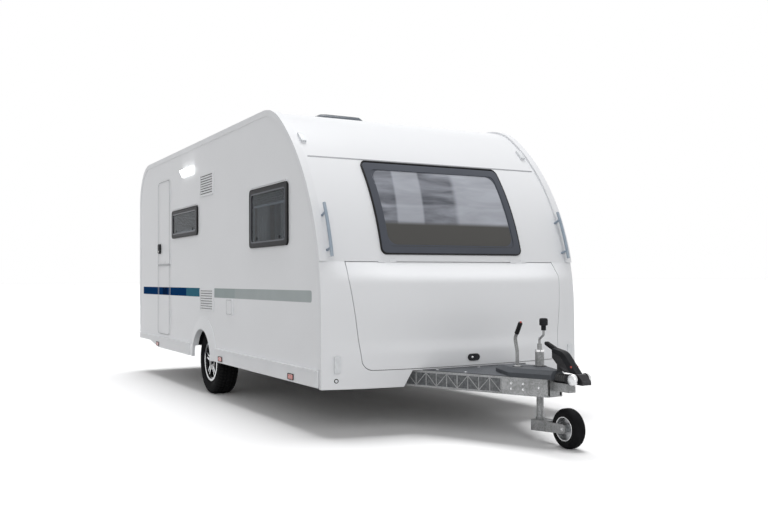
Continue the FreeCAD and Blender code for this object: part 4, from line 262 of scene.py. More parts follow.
def make_materials():
    M["body_white"] = paint("coated_sheet", (0.79, 0.80, 0.82), 0.30, 0.012, 1.2, 0.012, 60, rough_spread=0.05,
            shine=0.07)
    M["trim_white"] = paint("moulded_white", (0.77, 0.78, 0.80), 0.34, 0.02, 4, 0.03, 400, rough_spread=0.06,
            shine=0.10)
    M["trim_black"] = paint("black_plastic", (0.020, 0.021, 0.023), 0.42, 0.15, 12, 0.10, 900,
            wear=(0.05, 0.05, 0.055), shine=0.04)
    M["acrylic"] = paint("tinted_acrylic", (0.30, 0.33, 0.36), 0.05, 0.02, 2, 0.004, 12, rough_spread=0.02,
            clear=0.92, IOR=1.10)
    M["dome"] = paint("smoked_dome", (0.14, 0.155, 0.175), 0.16, 0.05, 4, 0.01, 30, rough_spread=0.04,
            shine=0.08)
    M["lamp"] = paint("red_lens", (0.62, 0.045, 0.02), 0.14, 0.10, 30, 0.35, 420, rough_spread=0.04, clear=0.25,
            Coat_Weight=0.5)
    M["lens_clear"] = paint("clear_lens", (0.74, 0.76, 0.78), 0.20, 0.06, 30, 0.30, 380, rough_spread=0.04,
            shine=0.2)
    M["frame_smoke"] = paint("smoked_border", (0.075, 0.082, 0.100), 0.16, 0.05, 3, 0.01, 30, rough_spread=0.04,
            shine=0.15)
    M["seal"] = paint("seal_rubber", (0.010, 0.010, 0.011), 0.55, 0.2, 18, 0.06, 700, shine=0.15)
    M["trim_grey"] = paint("grey_trim", (0.30, 0.31, 0.33), 0.35, 0.05, 9, 0.04, 500)
    M["dark_zinc"] = speckled("dull_zinc", (0.075, 0.080, 0.085), (0.17, 0.175, 0.18), 0.6, 70)
    M["zinc_bright"] = paint("bright_zinc", (0.66, 0.67, 0.68), 0.26, 0.08, 60, 0.05, 500, metal=0.9,
            wear=(0.80, 0.80, 0.80), worn_rough=0.18)
    M["pleats"] = paint("pleated_cloth", (0.15, 0.145, 0.13), 0.90, 0.05, 40, 0.3, 1500, Sheen_Weight=0.2)
    M["voile"] = paint("curtain_cloth", (0.46, 0.45, 0.42), 0.92, 0.05, 60, 0.4, 1700, Sheen_Weight=0.25)
    M["lamp_white"] = paint("lit_lens", (0.95, 0.95, 0.95), 0.25, 0.01, 8, 0.03, 300, Emission_Strength=2.2,
            Emission_Color=(1, 1, 1, 1))
    M["galvanised"] = speckled("hot_dip_zinc", (0.20, 0.205, 0.205), (0.36, 0.365, 0.37), 0.48, 110)
    M["cover_grey"] = paint("grained_grey", (0.066, 0.071, 0.080), 0.50, 0.06, 9, 0.18, 1400,
            wear=(0.13, 0.14, 0.15), shine=0.10)
    M["tyre"] = paint("tyre_rubber", (0.011, 0.011, 0.012), 0.72, 0.25, 22, 0.14, 700,
            wear=(0.026, 0.026, 0.026), worn_rough=0.85, shine=0.03)
    M["alloy"] = paint("gloss_black_alloy", (0.014, 0.014, 0.016), 0.18, 0.12, 14, 0.02, 500, metal=0.3,
            Coat_Weight=0.6, Coat_Roughness=0.05)
    M["machined"] = paint("turned_alloy", (0.62, 0.63, 0.64), 0.24, 0.06, 40, 0.05, 300, metal=1.0,
            rough_spread=0.08)
    M["steel_rim"] = paint("zinc_plated", (0.50, 0.51, 0.52), 0.30, 0.10, 25, 0.04, 260, metal=0.9,
            wear=(0.7, 0.7, 0.7))
    M["coupling"] = paint("black_casting", (0.022, 0.022, 0.024), 0.46, 0.2, 30, 0.35, 350, metal=0.2,
            wear=(0.08, 0.08, 0.085), shine=0.15)
    M["rubber"] = paint("black_rubber", (0.014, 0.014, 0.015), 0.60, 0.2, 20, 0.12, 800)
    M["grab"] = paint("blue_grey_grip", (0.27, 0.33, 0.40), 0.36, 0.05, 14, 0.06, 600, wear=(0.42, 0.47, 0.52))
    M["wood"] = paint("light_wood", (0.40, 0.28, 0.18), 0.45, 0.22, 4, 0.05, 90, detail=8, stretch=(1, 1, 9))
    M["fabric"] = paint("woven_fabric", (0.42, 0.40, 0.37), 0.92, 0.08, 30, 0.5, 900, Sheen_Weight=0.3)
    M["floor_board"] = paint("bonded_board", (0.20, 0.19, 0.18), 0.75, 0.15, 7, 0.12, 240)
    for name, colour in (("navy", NAVY), ("deep", DEEP), ("teal", TEAL), ("sage", SAGE), ("mist", MIST)):
        M[name] = paint("film_" + name, colour, 0.34, 0.03, 6, 0.02, 500, rough_spread=0.04, shine=0.0)
    M["front_glass"] = front_glass()


def dress_nodes():
    for name, thing in nodes.items():
        for holder in thing.material_slots:
            key = holder.material.name.split(".")[0] if holder.material else ""
            for slot in M:
                if key.endswith(slot):
                    key = slot
            holder.material = M.get(key, M["body_white"])
    for name, key in (("front_window_pane", "front_glass"), ("front_window_frame", "frame_smoke")):
        for holder in nodes[name].material_slots:
            holder.material = M[key]


# Mesh helpers

SLOT_OF = {"seal": "trim_black", "frame_smoke": "trim_black", "zinc_bright": "galvanised",
           "dark_zinc": "galvanised", "trim_grey": "trim_white", "machined": "alloy", "pleats": "fabric",
           "voile": "fabric"}
SIDES = ((-1, "right"), (1, "left"))
ALONG = {"X": lambda u, v, w: (w, u, v), "Y": lambda u, v, w: (u, w, v), "Z": lambda u, v, w: (u, v, w)}
SHARP = 35


def piece(name, verts, faces, mat, body="caravan", smooth=None, bevel=0.0, segments=2, slot=None,
          stands_for=(), solid=0.0):
    """A mesh that rides on a body. Its slot is not used."""
    mesh = bpy.data.meshes.new(name)
    mesh.from_pydata([tuple(v) for v in verts], [], faces)
    work = bmesh.new()
    work.from_mesh(mesh)
    bmesh.ops.remove_doubles(work, verts=work.verts, dist=1e-6)
    bmesh.ops.recalc_face_normals(work, faces=work.faces)
    work.to_mesh(mesh)
    work.free()
    thing = placed(name, mesh)
    mesh.materials.append(M[mat])
    if solid:
        settle(thing.modifiers.new("thick", "SOLIDIFY"), thickness=solid)
    if bevel:
        settle(thing.modifiers.new("edge", "BEVEL"), width=bevel, segments=segments, limit_method="ANGLE",
               angle_limit=math.radians(SHARP), harden_normals=True)
    if smooth is not None or bevel:
        for polygon in mesh.polygons:
            polygon.use_smooth = True
        mesh.set_sharp_from_angle(angle=math.radians(smooth or SHARP))
    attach(thing, body)
    if stands_for:
        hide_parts(*stands_for)
    slot or SLOT_OF.get(mat, mat)
    return thing


def slab(outline, low, high, put):
    """A prism on an outline, along an axis or by a function that takes a place and a height over it."""
    put = ALONG.get(put, put)
    count = len(outline)
    verts = [put(u, v, w) for w in (low, high) for u, v in outline]
    faces = [tuple(range(count)), tuple(range(2 * count - 1, count - 1, -1))]
    faces += [(i, (i + 1) % count, count + (i + 1) % count, count + i) for i in range(count)]
    return verts, faces


def rounded(x0, x1, z0, z1, radius, steps=8):
    """A rectangle with rounded corners as a list of points."""
    spots = []
    for cx, cz, turn in ((x1 - radius, z0 + radius, -0.5), (x1 - radius, z1 - radius, 0),
                         (x0 + radius, z1 - radius, 0.5), (x0 + radius, z0 + radius, 1)):
        for step in range(steps + 1):
            angle = math.pi * (turn + 0.5 * step / steps)
            spots.append((cx + radius * math.cos(angle), cz + radius * math.sin(angle)))
    return spots


def hoop(x0, x1, z0, z1, out, into, bend, inner_bend, steps=8):
    """Two rounded rectangles about one: the first larger by out, the second smaller by into."""
    return (rounded(x0 - out, x1 + out, z0 - out, z1 + out, bend, steps),
            rounded(x0 + into, x1 - into, z0 + into, z1 - into, inner_bend, steps))


# Stripes of film along the right side

def stripes():
    low, high, lift, gap, bend = 0.938, 1.024, 0.0004, 0.006, 0.02
    turns = (0.4, 0.8, 1.2, 1.5708)
    parts = [("stripe_tail", -3.143, DOOR_REAR - gap, "navy", "caravan"),
             ("stripe_door_rear", DOOR_REAR + gap, -2.262, "navy", "door"),
             ("stripe_door_block", -2.262, -2.060, "deep", "door"),
             ("stripe_door_front", -2.060, DOOR_FRONT - gap, "navy", "door"),
             ("stripe_navy", DOOR_FRONT + gap, -1.340, "navy", "caravan"),
             ("stripe_teal", -1.340, -0.876, "teal", "caravan"),
             ("stripe_sage", -0.421, 0.147, "sage", "caravan"),
             ("stripe_mist", 0.147, 1.777, "mist", "caravan")]
    for name, start, end, mat, body in parts:
        outline = [(start, low), (end, low), (end, high), (start, high)]
        if name == "stripe_mist":
            x, z = end - bend, high - bend
            outline = [(start, low), (x, low)]
            outline += [(x + bend * math.sin(a), low + bend - bend * math.cos(a)) for a in turns]
            outline += [(end, z)]
            outline += [(x + bend * math.cos(a), z + bend * math.sin(a)) for a in turns]
            outline += [(start, high)]
        piece(name, *slab(outline, -SIDE - lift, -SIDE - 0.00005, "Y"), mat, body=body, slot="body_white")


# Shapes

def wrapped(rows, count):
    """Faces of a grid of places that closes on itself both ways."""
    return [(row * count + i, (row + 1) % rows * count + i, (row + 1) % rows * count + (i + 1) % count,
             row * count + (i + 1) % count) for row in range(rows) for i in range(count)]


def turned(profile, centre, axis, steps, lobes=0, dent=0.0):
    """A profile of (radius, along) turned about an axis, with dents where lobes meet."""
    along = Vector(axis).normalized()
    side = along.orthogonal().normalized()
    other = along.cross(side)
    verts = []
    for step in range(steps):
        angle = 2 * math.pi * step / steps
        way = side * math.cos(angle) + other * math.sin(angle)
        less = dent if lobes and step % (steps // lobes) == 0 else 0.0
        for radius, far in profile:
            reach = max(0.0, radius - (less if radius > 4 * dent else 0))
            verts.append(Vector(centre) + way * reach + along * far)
    return verts, wrapped(steps, len(profile))


def stud(spot, axis, steps, radius, edge, top, high, foot=0):
    """A low turned button: upright from its foot to its edge, then sloping in to a flat top."""
    return turned([(0, foot), (radius, foot), (radius, edge), (top, high), (0, high)], spot, axis, steps)


def stacked(rings):
    """A closed form through outlines of as many points each, given with their heights."""
    n = len(rings[0][0])
    verts = [(x, y, z) for ring, z in rings for x, y in ring]
    faces = [tuple(range(n)), tuple(range(len(verts) - 1, len(verts) - n - 1, -1))]
    for row in range(0, len(verts) - n, n):
        faces += [(row + i, row + (i + 1) % n, row + n + (i + 1) % n, row + n + i) for i in range(n)]
    return verts, faces


def band(outer, inner, low, high, put):
    """A ring between two outlines of as many points each."""
    put = ALONG.get(put, put)
    n = len(outer)
    verts = [put(u, v, w) for w in (low, high) for loop in (outer, inner) for u, v in loop]
    faces = []
    for i in range(n):
        j = (i + 1) % n
        faces += [(i, n + i, n + j, j), (2 * n + i, 2 * n + j, 3 * n + j, 3 * n + i),
                  (i, j, 2 * n + j, 2 * n + i), (n + i, 3 * n + i, 3 * n + j, n + j)]
    return verts, faces


def dense(loops, longest=0.06):
    """Splits the long edges of outlines alike, so that they can follow a curved wall."""
    first = loops[0]
    out = [[] for _ in loops]
    for i in range(len(first)):
        j = (i + 1) % len(first)
        parts = max(1, math.ceil(math.dist(first[i], first[j]) / longest))
        for loop, into in zip(loops, out):
            for part in range(parts):
                f = part / parts
                into.append((loop[i][0] * (1 - f) + loop[j][0] * f, loop[i][1] * (1 - f) + loop[j][1] * f))
    return out


def merged(parts):
    """Joins several lists of vertices and faces."""
    verts, faces = [], []
    for more, ways in parts:
        faces += [tuple(index + len(verts) for index in face) for face in ways]
        verts += list(more)
    return verts, faces


def cuboid(low, high):
    verts = [(x, y, z) for x in (low[0], high[0]) for y in (low[1], high[1]) for z in (low[2], high[2])]
    faces = [(0, 1, 3, 2), (4, 6, 7, 5), (0, 4, 5, 1), (2, 3, 7, 6), (0, 2, 6, 4), (1, 5, 7, 3)]
    return verts, faces


def bar(start, end, half_wide, low, high, put):
    """A flat bar between two places on a plane, from one height over it to another."""
    du, dv = end[0] - start[0], end[1] - start[1]
    size = math.hypot(du, dv)
    u, v = -dv / size * half_wide, du / size * half_wide
    return slab([(start[0] + u, start[1] + v), (end[0] + u, end[1] + v), (end[0] - u, end[1] - v),
                 (start[0] - u, start[1] - v)], low, high, put)


def wire(name, spots, radius, mat):
    """A round bar through a row of places."""
    curve = settle(bpy.data.curves.new(name, "CURVE"), dimensions="3D", bevel_depth=radius,
                   bevel_resolution=3, use_fill_caps=True)
    line = curve.splines.new("POLY")
    line.points.add(len(spots) - 1)
    for point, spot in zip(line.points, spots):
        point.co = (*spot, 1)
    line.use_smooth = True
    curve.materials.append(M[mat])
    thing = placed(name, curve)
    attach(thing, "caravan")
    return thing


def hexes(spots, axis, across, high):
    """Bolt heads: a washer, six sides and a bevelled top."""
    washer = [(0, 0), (across * 0.78, 0), (across * 0.78, high * 0.22), (0, high * 0.22)]
    head = [(0, high * 0.22), (across * 0.56, high * 0.22), (across * 0.56, high * 0.85), (across * 0.48, high),
            (0, high)]
    return merged([turned(profile, spot, axis, steps) for spot in spots
                   for profile, steps in ((washer, 16), (head, 6))])


# Road wheels

def tyre_profile():
    """Half of a tyre's section as (from the middle, radius, depth of its cross grooves)."""
    return [(0.0, 0.3140, 2), (0.0170, 0.3138, 2), (0.0185, 0.3062, 0), (0.0250, 0.3062, 0),
            (0.0265, 0.3136, 5), (0.0470, 0.3132, 5), (0.0485, 0.3060, 0), (0.0540, 0.3060, 0),
            (0.0555, 0.3128, 6), (0.0740, 0.3118, 6), (0.0815, 0.3082, 6), (0.0875, 0.3030, 5),
            (0.0925, 0.2975, 3), (0.0950, 0.2925, 0), (0.0966, 0.2860, 0), (0.0972, 0.2780, 0),
            (0.0960, 0.2765, 0), (0.0972, 0.2740, 0), (0.0974, 0.2560, 0), (0.0966, 0.2460, 0),
            (0.0950, 0.2440, 0), (0.0952, 0.2400, 0), (0.0925, 0.2310, 0), (0.0880, 0.2200, 0),
            (0.0830, 0.2110, 0), (0.0780, 0.2035, 0), (0.0740, 0.2010, 0), (0.0740, 0.1785, 0)]


def road_tyre(label, sign):
    """A tyre of repeated blocks, each cut by a groove that slants across the tread."""
    half = tyre_profile()
    section = [(-y, r, d) for y, r, d in reversed(half)] + half[1:]
    pitches, marks = 58, ((0.0, 0), (0.60, 0), (0.68, 1), (0.92, 1))
    verts = []
    for pitch in range(pitches):
        for share, down in marks:
            for y, r, depth in section:
                skew = 0.5 * abs(y) / 0.075 if y * sign > 0 else 0.5 + 0.5 * abs(y) / 0.075
                angle = 2 * math.pi * (pitch + share + skew) / pitches
                radius = r - (depth / 1000 if down else 0)
                verts.append((AXLE_X + radius * math.cos(angle), sign * TYRE_MID + y,
                              TYRE_R + radius * math.sin(angle)))
    piece("road_tyre_" + label, verts, wrapped(pitches * len(marks), len(section)), "tyre",
          body="wheel_" + label, smooth=28, stands_for=["tyre_" + label])


def rim_faces(label, sign):
    """Turned faces on the twin spokes and the rim's edge, wheel bolts and a blank cap."""
    def put(angle):
        along, across = math.cos(angle), math.sin(angle)
        return lambda u, v, w: (AXLE_X + along * u - across * v, sign * w, TYRE_R + across * u + along * v)
    face, edge, wheel = TYRE_MID + 0.0725, TYRE_MID + 0.0835, "wheel_" + label
    spoke = [(0.072, 0.0065), (0.092, 0.0065), (0.150, 0.0145), (0.1535, 0.0240), (0.148, 0.0290),
             (0.112, 0.0255), (0.086, 0.0255), (0.074, 0.0180)]
    parts = [slab([(u, v * way) for u, v in spoke], face - 0.001, face + 0.0016,
                  put(math.pi * (2 * index + 2) / 5 + math.pi / 2)) for index in range(5) for way in (1, -1)]
    parts.append(turned([(0.1715, 0), (0.1925, 0), (0.1925, 0.0010), (0.1715, 0.0010)],
                        (AXLE_X, sign * edge, TYRE_R), (0, sign, 0), 96))
    piece("rim_faces_" + label, *merged(parts), "machined", body=wheel, bevel=0.0007)
    spots = [(AXLE_X + 0.047 * math.cos(a), sign * (face + 0.0002), TYRE_R + 0.047 * math.sin(a))
             for a in (math.pi * (0.5 + 0.4 * k) for k in range(5))]
    piece("wheel_bolts_" + label, *hexes(spots, (0, sign, 0), 0.0085, 0.009), "zinc_bright", body=wheel,
          bevel=0.0005, slot="alloy")
    cap = [(0, 0), (0.0300, 0), (0.0300, 0.0010), (0.0270, 0.0030), (0.0140, 0.0042), (0, 0.0045)]
    piece("hub_cap_" + label, *turned(cap, (AXLE_X, sign * edge, TYRE_R), (0, sign, 0), 48), "alloy",
          body=wheel, smooth=40)


def jockey_details():
    """The jockey wheel's rim edges, bosses and tyre rings, and the nuts on its fork."""
    hub = Vector((JOCKEY_X + JOCKEY_REACH, JOCKEY_Y, JOCKEY_R))
    for sign, label in SIDES:
        face, axis = hub + Vector((0, sign * JOCKEY_HALF, 0)), (0, sign, 0)
        edge = turned([(0.0775, 0.0), (0.0770, 0.0007), (0.0735, 0.0004), (0.0735, -0.0006)], face, axis, 64)
        boss = turned([(0.0238, 0.0), (0.0225, 0.0008), (0.0150, 0.0010), (0.0120, 0.0)], face, axis, 40)
        piece("jockey_rim_edge_" + label, *merged([edge, boss]), "zinc_bright", body="jockey_roller",
              smooth=40, slot="steel_rim")
        nut = hexes([face + Vector((0, sign * 0.0112, 0))], axis, 0.013, 0.010)
        piece("jockey_bolt_" + label, *nut, "zinc_bright", body="jockey_swivel", bevel=0.0006)
        rings = [turned([(r, 0.0), (r + 0.0016, 0.0), (r + 0.0016, 0.0006), (r, 0.0006)], face, axis, 64)
                 for r in (0.086, 0.094)]
        piece("jockey_tyre_rings_" + label, *merged(rings), "tyre", body="jockey_roller", smooth=40)


# Windows

def front_spot(y, z, radius):
    """A place over the front's sweep at one height, at a distance from the sweep's axis."""
    reach = math.sqrt(SWEEP_R ** 2 - (z - SWEEP_Z) ** 2)
    return (SWEEP_X + reach * radius / SWEEP_R, y, SWEEP_Z + (z - SWEEP_Z) * radius / SWEEP_R)


def front_window():
    """The rubber seal, the dark mask, the line under the brow and the latches, bent to the sweep."""
    half, low, high, border = 0.634, 1.288, 2.000, 0.056
    loops = dense(hoop(-half, half, low, high, 0.006, 0.003, 0.046, 0.037))
    piece("front_window_seal", *band(*loops, 1.8500, 1.8675, front_spot), "seal", bevel=0.0015)
    clear = half - border
    loops = dense(hoop(-clear, clear, low + border, high - border, 0, 0.010, 0.012, 0.075))
    piece("front_window_mask", *band(*loops, 1.8611, 1.8617, front_spot), "frame_smoke", smooth=35)
    outline = dense([rounded(-1.060, 1.060, 2.020, 2.029, 0.004, 3)], 0.05)[0]
    line = band(outline, [(0, 2.0245)] * len(outline), 1.8490, 1.8520, front_spot)
    piece("brow_trim", *line, "trim_grey", smooth=35)
    parts = []
    for y, lean in ((-0.30, 0.05), (0.42, -0.05)):
        parts.append(bar((y, 1.372), (y + lean, 1.398), 0.006, 1.8500, 1.8555, front_spot))
        parts.append(bar((y - 0.035, 1.372), (y + 0.035, 1.372), 0.009, 1.8500, 1.8555, front_spot))
    piece("front_window_latches", *merged(parts), "seal", bevel=0.001)


WALLS = {
    "right": (lambda u, z, w: (u, -SIDE - w, z)), "left": (lambda u, z, w: (u, SIDE + w, z)),
    "rear": (lambda u, z, w: (REAR - w, u, z)),
}
WINDOWS = (("window_right", "right", 0.555, 1.360, 1.368, 1.845, 0.25, True),
           ("kitchen_window", "right", -1.832, -0.926, 1.552, 1.838, 1.0, False),
           ("window_left", "left", 0.555, 1.360, 1.368, 1.845, 0.25, True),
           ("bed_window", "left", -3.000, -2.100, 1.368, 1.845, 0.30, True),
           ("rear_window", "rear", -0.480, 0.480, 1.400, 1.900, 0.30, True))


def side_windows():
    """For each window a seal, a bead, a rain rail, catches, a blind and, on some, curtains."""
    border = 0.046
    for name, wall, u0, u1, low, top, drawn, curtained in WINDOWS:
        put = WALLS[wall]
        loops = hoop(u0, u1, low, top, 0.004, 0.004, 0.038, 0.030)
        piece(name + "_seal", *band(*loops, 0.0, 0.0172, put), "seal", bevel=0.0015)
        start, end, sill, head = u0 + border, u1 - border, low + border, top - border
        loops = hoop(start, end, sill, head, 0.012, 0, 0.03, 0.022)
        piece(name + "_bead", *band(*loops, 0.0155, 0.0172, put), "frame_smoke", bevel=0.0005)
        rail = [bar((u0 + 0.02, top + up), (u1 - 0.02, top + up), half, 0.0, out, put)
                for up, half, out in ((0.012, 0.006, 0.010), (0.020, 0.003, 0.016))]
        piece(name + "_rail", *merged(rail), "trim_white", bevel=0.0012)
        away = Vector(put(0, 0, 1)) - Vector(put(0, 0, 0))
        parts = [stud(put(u, sill + 0.020, 0.0112), away, 24, 0.013, 0.003, 0.009, 0.0045)
                 for u in (u0 + 0.16, u1 - 0.16)]
        piece(name + "_catches", *merged(parts), "trim_black", smooth=40)
        blind(name + "_blind", put, start - 0.004, end + 0.004, head + 0.004, sill, drawn)
        if curtained:
            for side, near, far in (("rear", u0 + 0.02, u0 + 0.26), ("front", u1 - 0.26, u1 - 0.02)):
                curtain(f"{name}_curtain_{side}", put, near, far, low + 0.012, top - 0.02)


def blind(name, put, u0, u1, top, low, drawn):
    """A pleated blind on its bottom rail, drawn down over a share of the window."""
    pitch, deep = 0.018, 0.007
    folds = max(3, int((top - low) * drawn / pitch))
    verts = [put(u, top - row * pitch / 2, -0.017 + (deep if row % 2 else -deep))
             for row in range(2 * folds + 1) for u in (u0, u1)]
    faces = [(2 * row, 2 * row + 1, 2 * row + 3, 2 * row + 2) for row in range(2 * folds)]
    cloth = piece(name, verts, faces, "pleats", solid=0.0006)
    end, middle = top - folds * pitch, (u0 + u1) / 2
    parts = [bar((u0, end - 0.008), (u1, end - 0.008), 0.008, -0.026, -0.008, put),
             bar((middle - 0.04, end - 0.012), (middle + 0.04, end - 0.012), 0.004, -0.008, -0.004, put)]
    rail = piece(name + "_rail", *merged(parts), "trim_white", bevel=0.0015)


def curtain(name, put, start, end, low, top):
    """A gathered curtain whose folds open a little towards its hem."""
    steps, rows, folds = 96, 14, 6
    verts, faces, lengths = [], [], []
    for row in range(rows + 1):
        share = row / rows
        deep = 0.010 + 0.010 * share
        line = []
        for step in range(steps + 1):
            f = step / steps
            phase = 2 * math.pi * folds * (f + 0.012 * math.sin(7 * f + 2 * share))
            line.append((start + (end - start) * f + 0.006 * math.sin(2 * phase) * share,
                         top - (top - low) * share, -0.060 + deep * math.cos(phase)))
        lengths.append(sum(math.dist(a, b) for a, b in zip(line, line[1:])))
        verts += [put(*spot) for spot in line]
    for row in range(rows):
        for step in range(steps):
            a = row * (steps + 1) + step
            faces.append((a, a + 1, a + steps + 2, a + steps + 1))
    cloth = piece(name, verts, faces, "voile", smooth=80, solid=0.0008)


# Body details

def body_details():
    """The door's edge line, lock and bezel, the hatch's latch, louvres with painted shadow in their slots, the
    flap's groove, and jack caps on black discs painted as the shade in their holes.
    """
    put = WALLS["right"]
    belt = bar((-2.424, 1.271), (-1.955, 1.271), 0.0110, 0.0105, 0.0118, put)
    piece("door_belt", *belt, "trim_grey", body="door", slot="body_white")
    loops = hoop(-2.427, -1.952, 0.501, 2.204, 0, 0.006, 0.056, 0.050)
    piece("door_edge", *band(*loops, 0.0100, 0.0118, put), "trim_grey", body="door", bevel=0.0005,
          slot="body_white")
    lock = stud(put(-2.364, 1.425, 0.0220), (0, -1, 0), 24, 0.011, 0.002, 0.008, 0.0035)
    piece("door_lock", *lock, "zinc_bright", body="door", smooth=40, slot="trim_black")
    loops = hoop(-2.398, -2.330, 1.404, 1.506, 0, 0.008, 0.016, 0.010)
    piece("door_handle_bezel", *band(*loops, 0.0218, 0.0236, put), "trim_black", body="door", bevel=0.0006)
    key = stud((2.1440, -0.018, 0.524), (1, 0, 0), 24, 0.0085, 0.0018, 0.006, 0.003)
    piece("latch_key", *key, "zinc_bright", body="hatch", smooth=40, slot="trim_black")
    loops = hoop(-0.048, 0.048, 0.501, 0.547, 0, 0.006, 0.022, 0.016)
    piece("latch_bezel", *band(*loops, 2.1436, 2.1456, "X"), "coupling", body="hatch", bevel=0.0007,
          slot="trim_black")
    slot_shadows, blades, near, far = [], [], -0.836, -0.464
    for low in (0.800, 1.911):
        for row in range(8):
            z = low + 0.018 + row * 0.024
            # A near-black strip on the wall behind each blade: painted shadow in the slot.
            slot_shadows.append(bar((near, z + 0.007), (far, z + 0.007), 0.0068, 0.0002, 0.0010, put))
            blades.append(slab([(0.0010, z + 0.0072), (0.0062, z + 0.0003), (0.0078, z + 0.0003),
                                (0.0022, z + 0.0084)], near, far, lambda out, up, x: (x, -SIDE - out, up)))
    piece("vent_backs", *merged(slot_shadows), "seal")
    piece("vent_blades", *merged(blades), "trim_white", bevel=0.0003)
    loops = hoop(-0.040, 0.092, 0.795, 0.924, 0, 0.004, 0.010, 0.008)
    piece("flap_groove", *band(*loops, 0.0138, 0.0146, put), "trim_grey")
    for sign, label in SIDES:
        found, spot, normal, _ = nodes["front_moulding"].ray_cast((2.6, sign * 1.050, 0.395), (-1, 0, 0))
        if found:
            # A black disc on the moulding where the hole is: painted shade inside the hole.
            base = stud(spot, normal, 28, 0.016, 0.0015, 0.013, 0.0025, foot=-0.001)
            piece("jack_hole_" + label, *base, "seal", smooth=40)
            cap = stud(spot, normal, 24, 0.010, 0.004, 0.006, 0.0055, foot=0.0024)
            piece("jack_cap_" + label, *cap, "trim_white", smooth=40)


def roof_lights():
    """Crowned smoked domes over the roof lights' frames, each with a dark seal at its foot."""
    domes, seals, low = [], [], 2.495
    crown = ((0.0, 0.0), (0.006, 0.35), (0.018, 0.70), (0.045, 0.90), (0.095, 0.98), (0.170, 1.0))
    for x0, x1, y0, y1, high in ((-0.460, 0.240, -0.375, 0.137, 0.150),
                                 (-2.600, -2.200, 0.160, 0.560, 0.080)):
        domes.append(stacked([(rounded(x0 + inset, x1 - inset, y0 + inset, y1 - inset,
                                       max(0.03, 0.06 - inset / 3), 6), low + high * share)
                              for inset, share in crown]))
        seals.append(band(*hoop(x0, x1, y0, y1, 0, 0.02, 0.06, 0.04, 6), low, low + 0.010, "Z"))
    piece("roof_domes", *merged(domes), "dome", smooth=50, stands_for=["roof_light_domes"])
    piece("dome_seals", *merged(seals), "seal")


def rear_details():
    """Bezels and ribs of the rear lamps, and two lines across the tail."""
    put = WALLS["rear"]
    for sign, label in SIDES:
        u0, u1 = sorted((sign * 0.760, sign * 1.050))
        loops = hoop(u0, u1, 0.560, 0.680, 0.006, 0.002, 0.028, 0.022)
        piece("lamp_bezel_" + label, *band(*loops, 0.030, 0.0365, put), "trim_grey", bevel=0.001)
        parts = [bar((u0 + 0.01, z), (u1 - 0.01, z), 0.0015, 0.0345, 0.0362, put)
                 for z in (0.594, 0.620, 0.646)]
        piece("lamp_ribs_" + label, *merged(parts), "lamp")
    parts = [bar((-1.05, z), (1.05, z), 0.0015, 0.0345, 0.0356, put) for z in (0.470, 0.740)]
    piece("tail_lines", *merged(parts), "trim_grey")


def drawbar_put(sign):
    """Places over an arm's outer side, by the way forward, the height and the distance out."""
    return lambda x, z, out: (x + out * ARM_SLOPE / ARM_SIZE,
                              sign * (ARM_HALF + ARM_SLOPE * (ARM_END - x) + out / ARM_SIZE), z)


def drawbar_details():
    """A plain truss of raised ribs over a darker field along each arm, and bolts ahead of it."""
    start, end, cells = 2.020, 2.730, 9
    step, low, high = (end - start) / cells, ARM_LOW + 0.010, ARM_TOP - 0.010
    for sign, label in SIDES:
        put = drawbar_put(sign)
        field = [(start, low), (end, low), (end, high), (start, high)]
        piece("arm_field_" + label, *slab(field, 0.0, 0.0006, put), "dark_zinc")
        parts = []
        for cell in range(cells + 1):
            x = start + cell * step
            parts.append(bar((x, ARM_LOW + 0.008), (x, ARM_TOP - 0.008), 0.0032, 0.0, 0.0026, put))
            if cell < cells:
                a, b = (x, x + step) if cell % 2 else (x + step, x)
                parts.append(bar((a, ARM_LOW + 0.012), (b, ARM_TOP - 0.012), 0.0026, 0.0, 0.0022, put))
        parts += [bar((start, z), (end, z), 0.0034, 0.0, 0.0028, put) for z in (low, high)]
        piece("arm_truss_" + label, *merged(parts), "galvanised", bevel=0.0006)
        spots = [put(x, (ARM_LOW + ARM_TOP) / 2 + up, 0.0) for x, up in
                 ((2.80, 0.018), (2.80, -0.018), (2.88, 0.018), (2.88, -0.018), (2.985, 0.0))]
        piece("arm_bolts_" + label, *hexes(spots, (ARM_SLOPE / ARM_SIZE, sign / ARM_SIZE, 0), 0.0105, 0.009),
              "zinc_bright", bevel=0.0006)


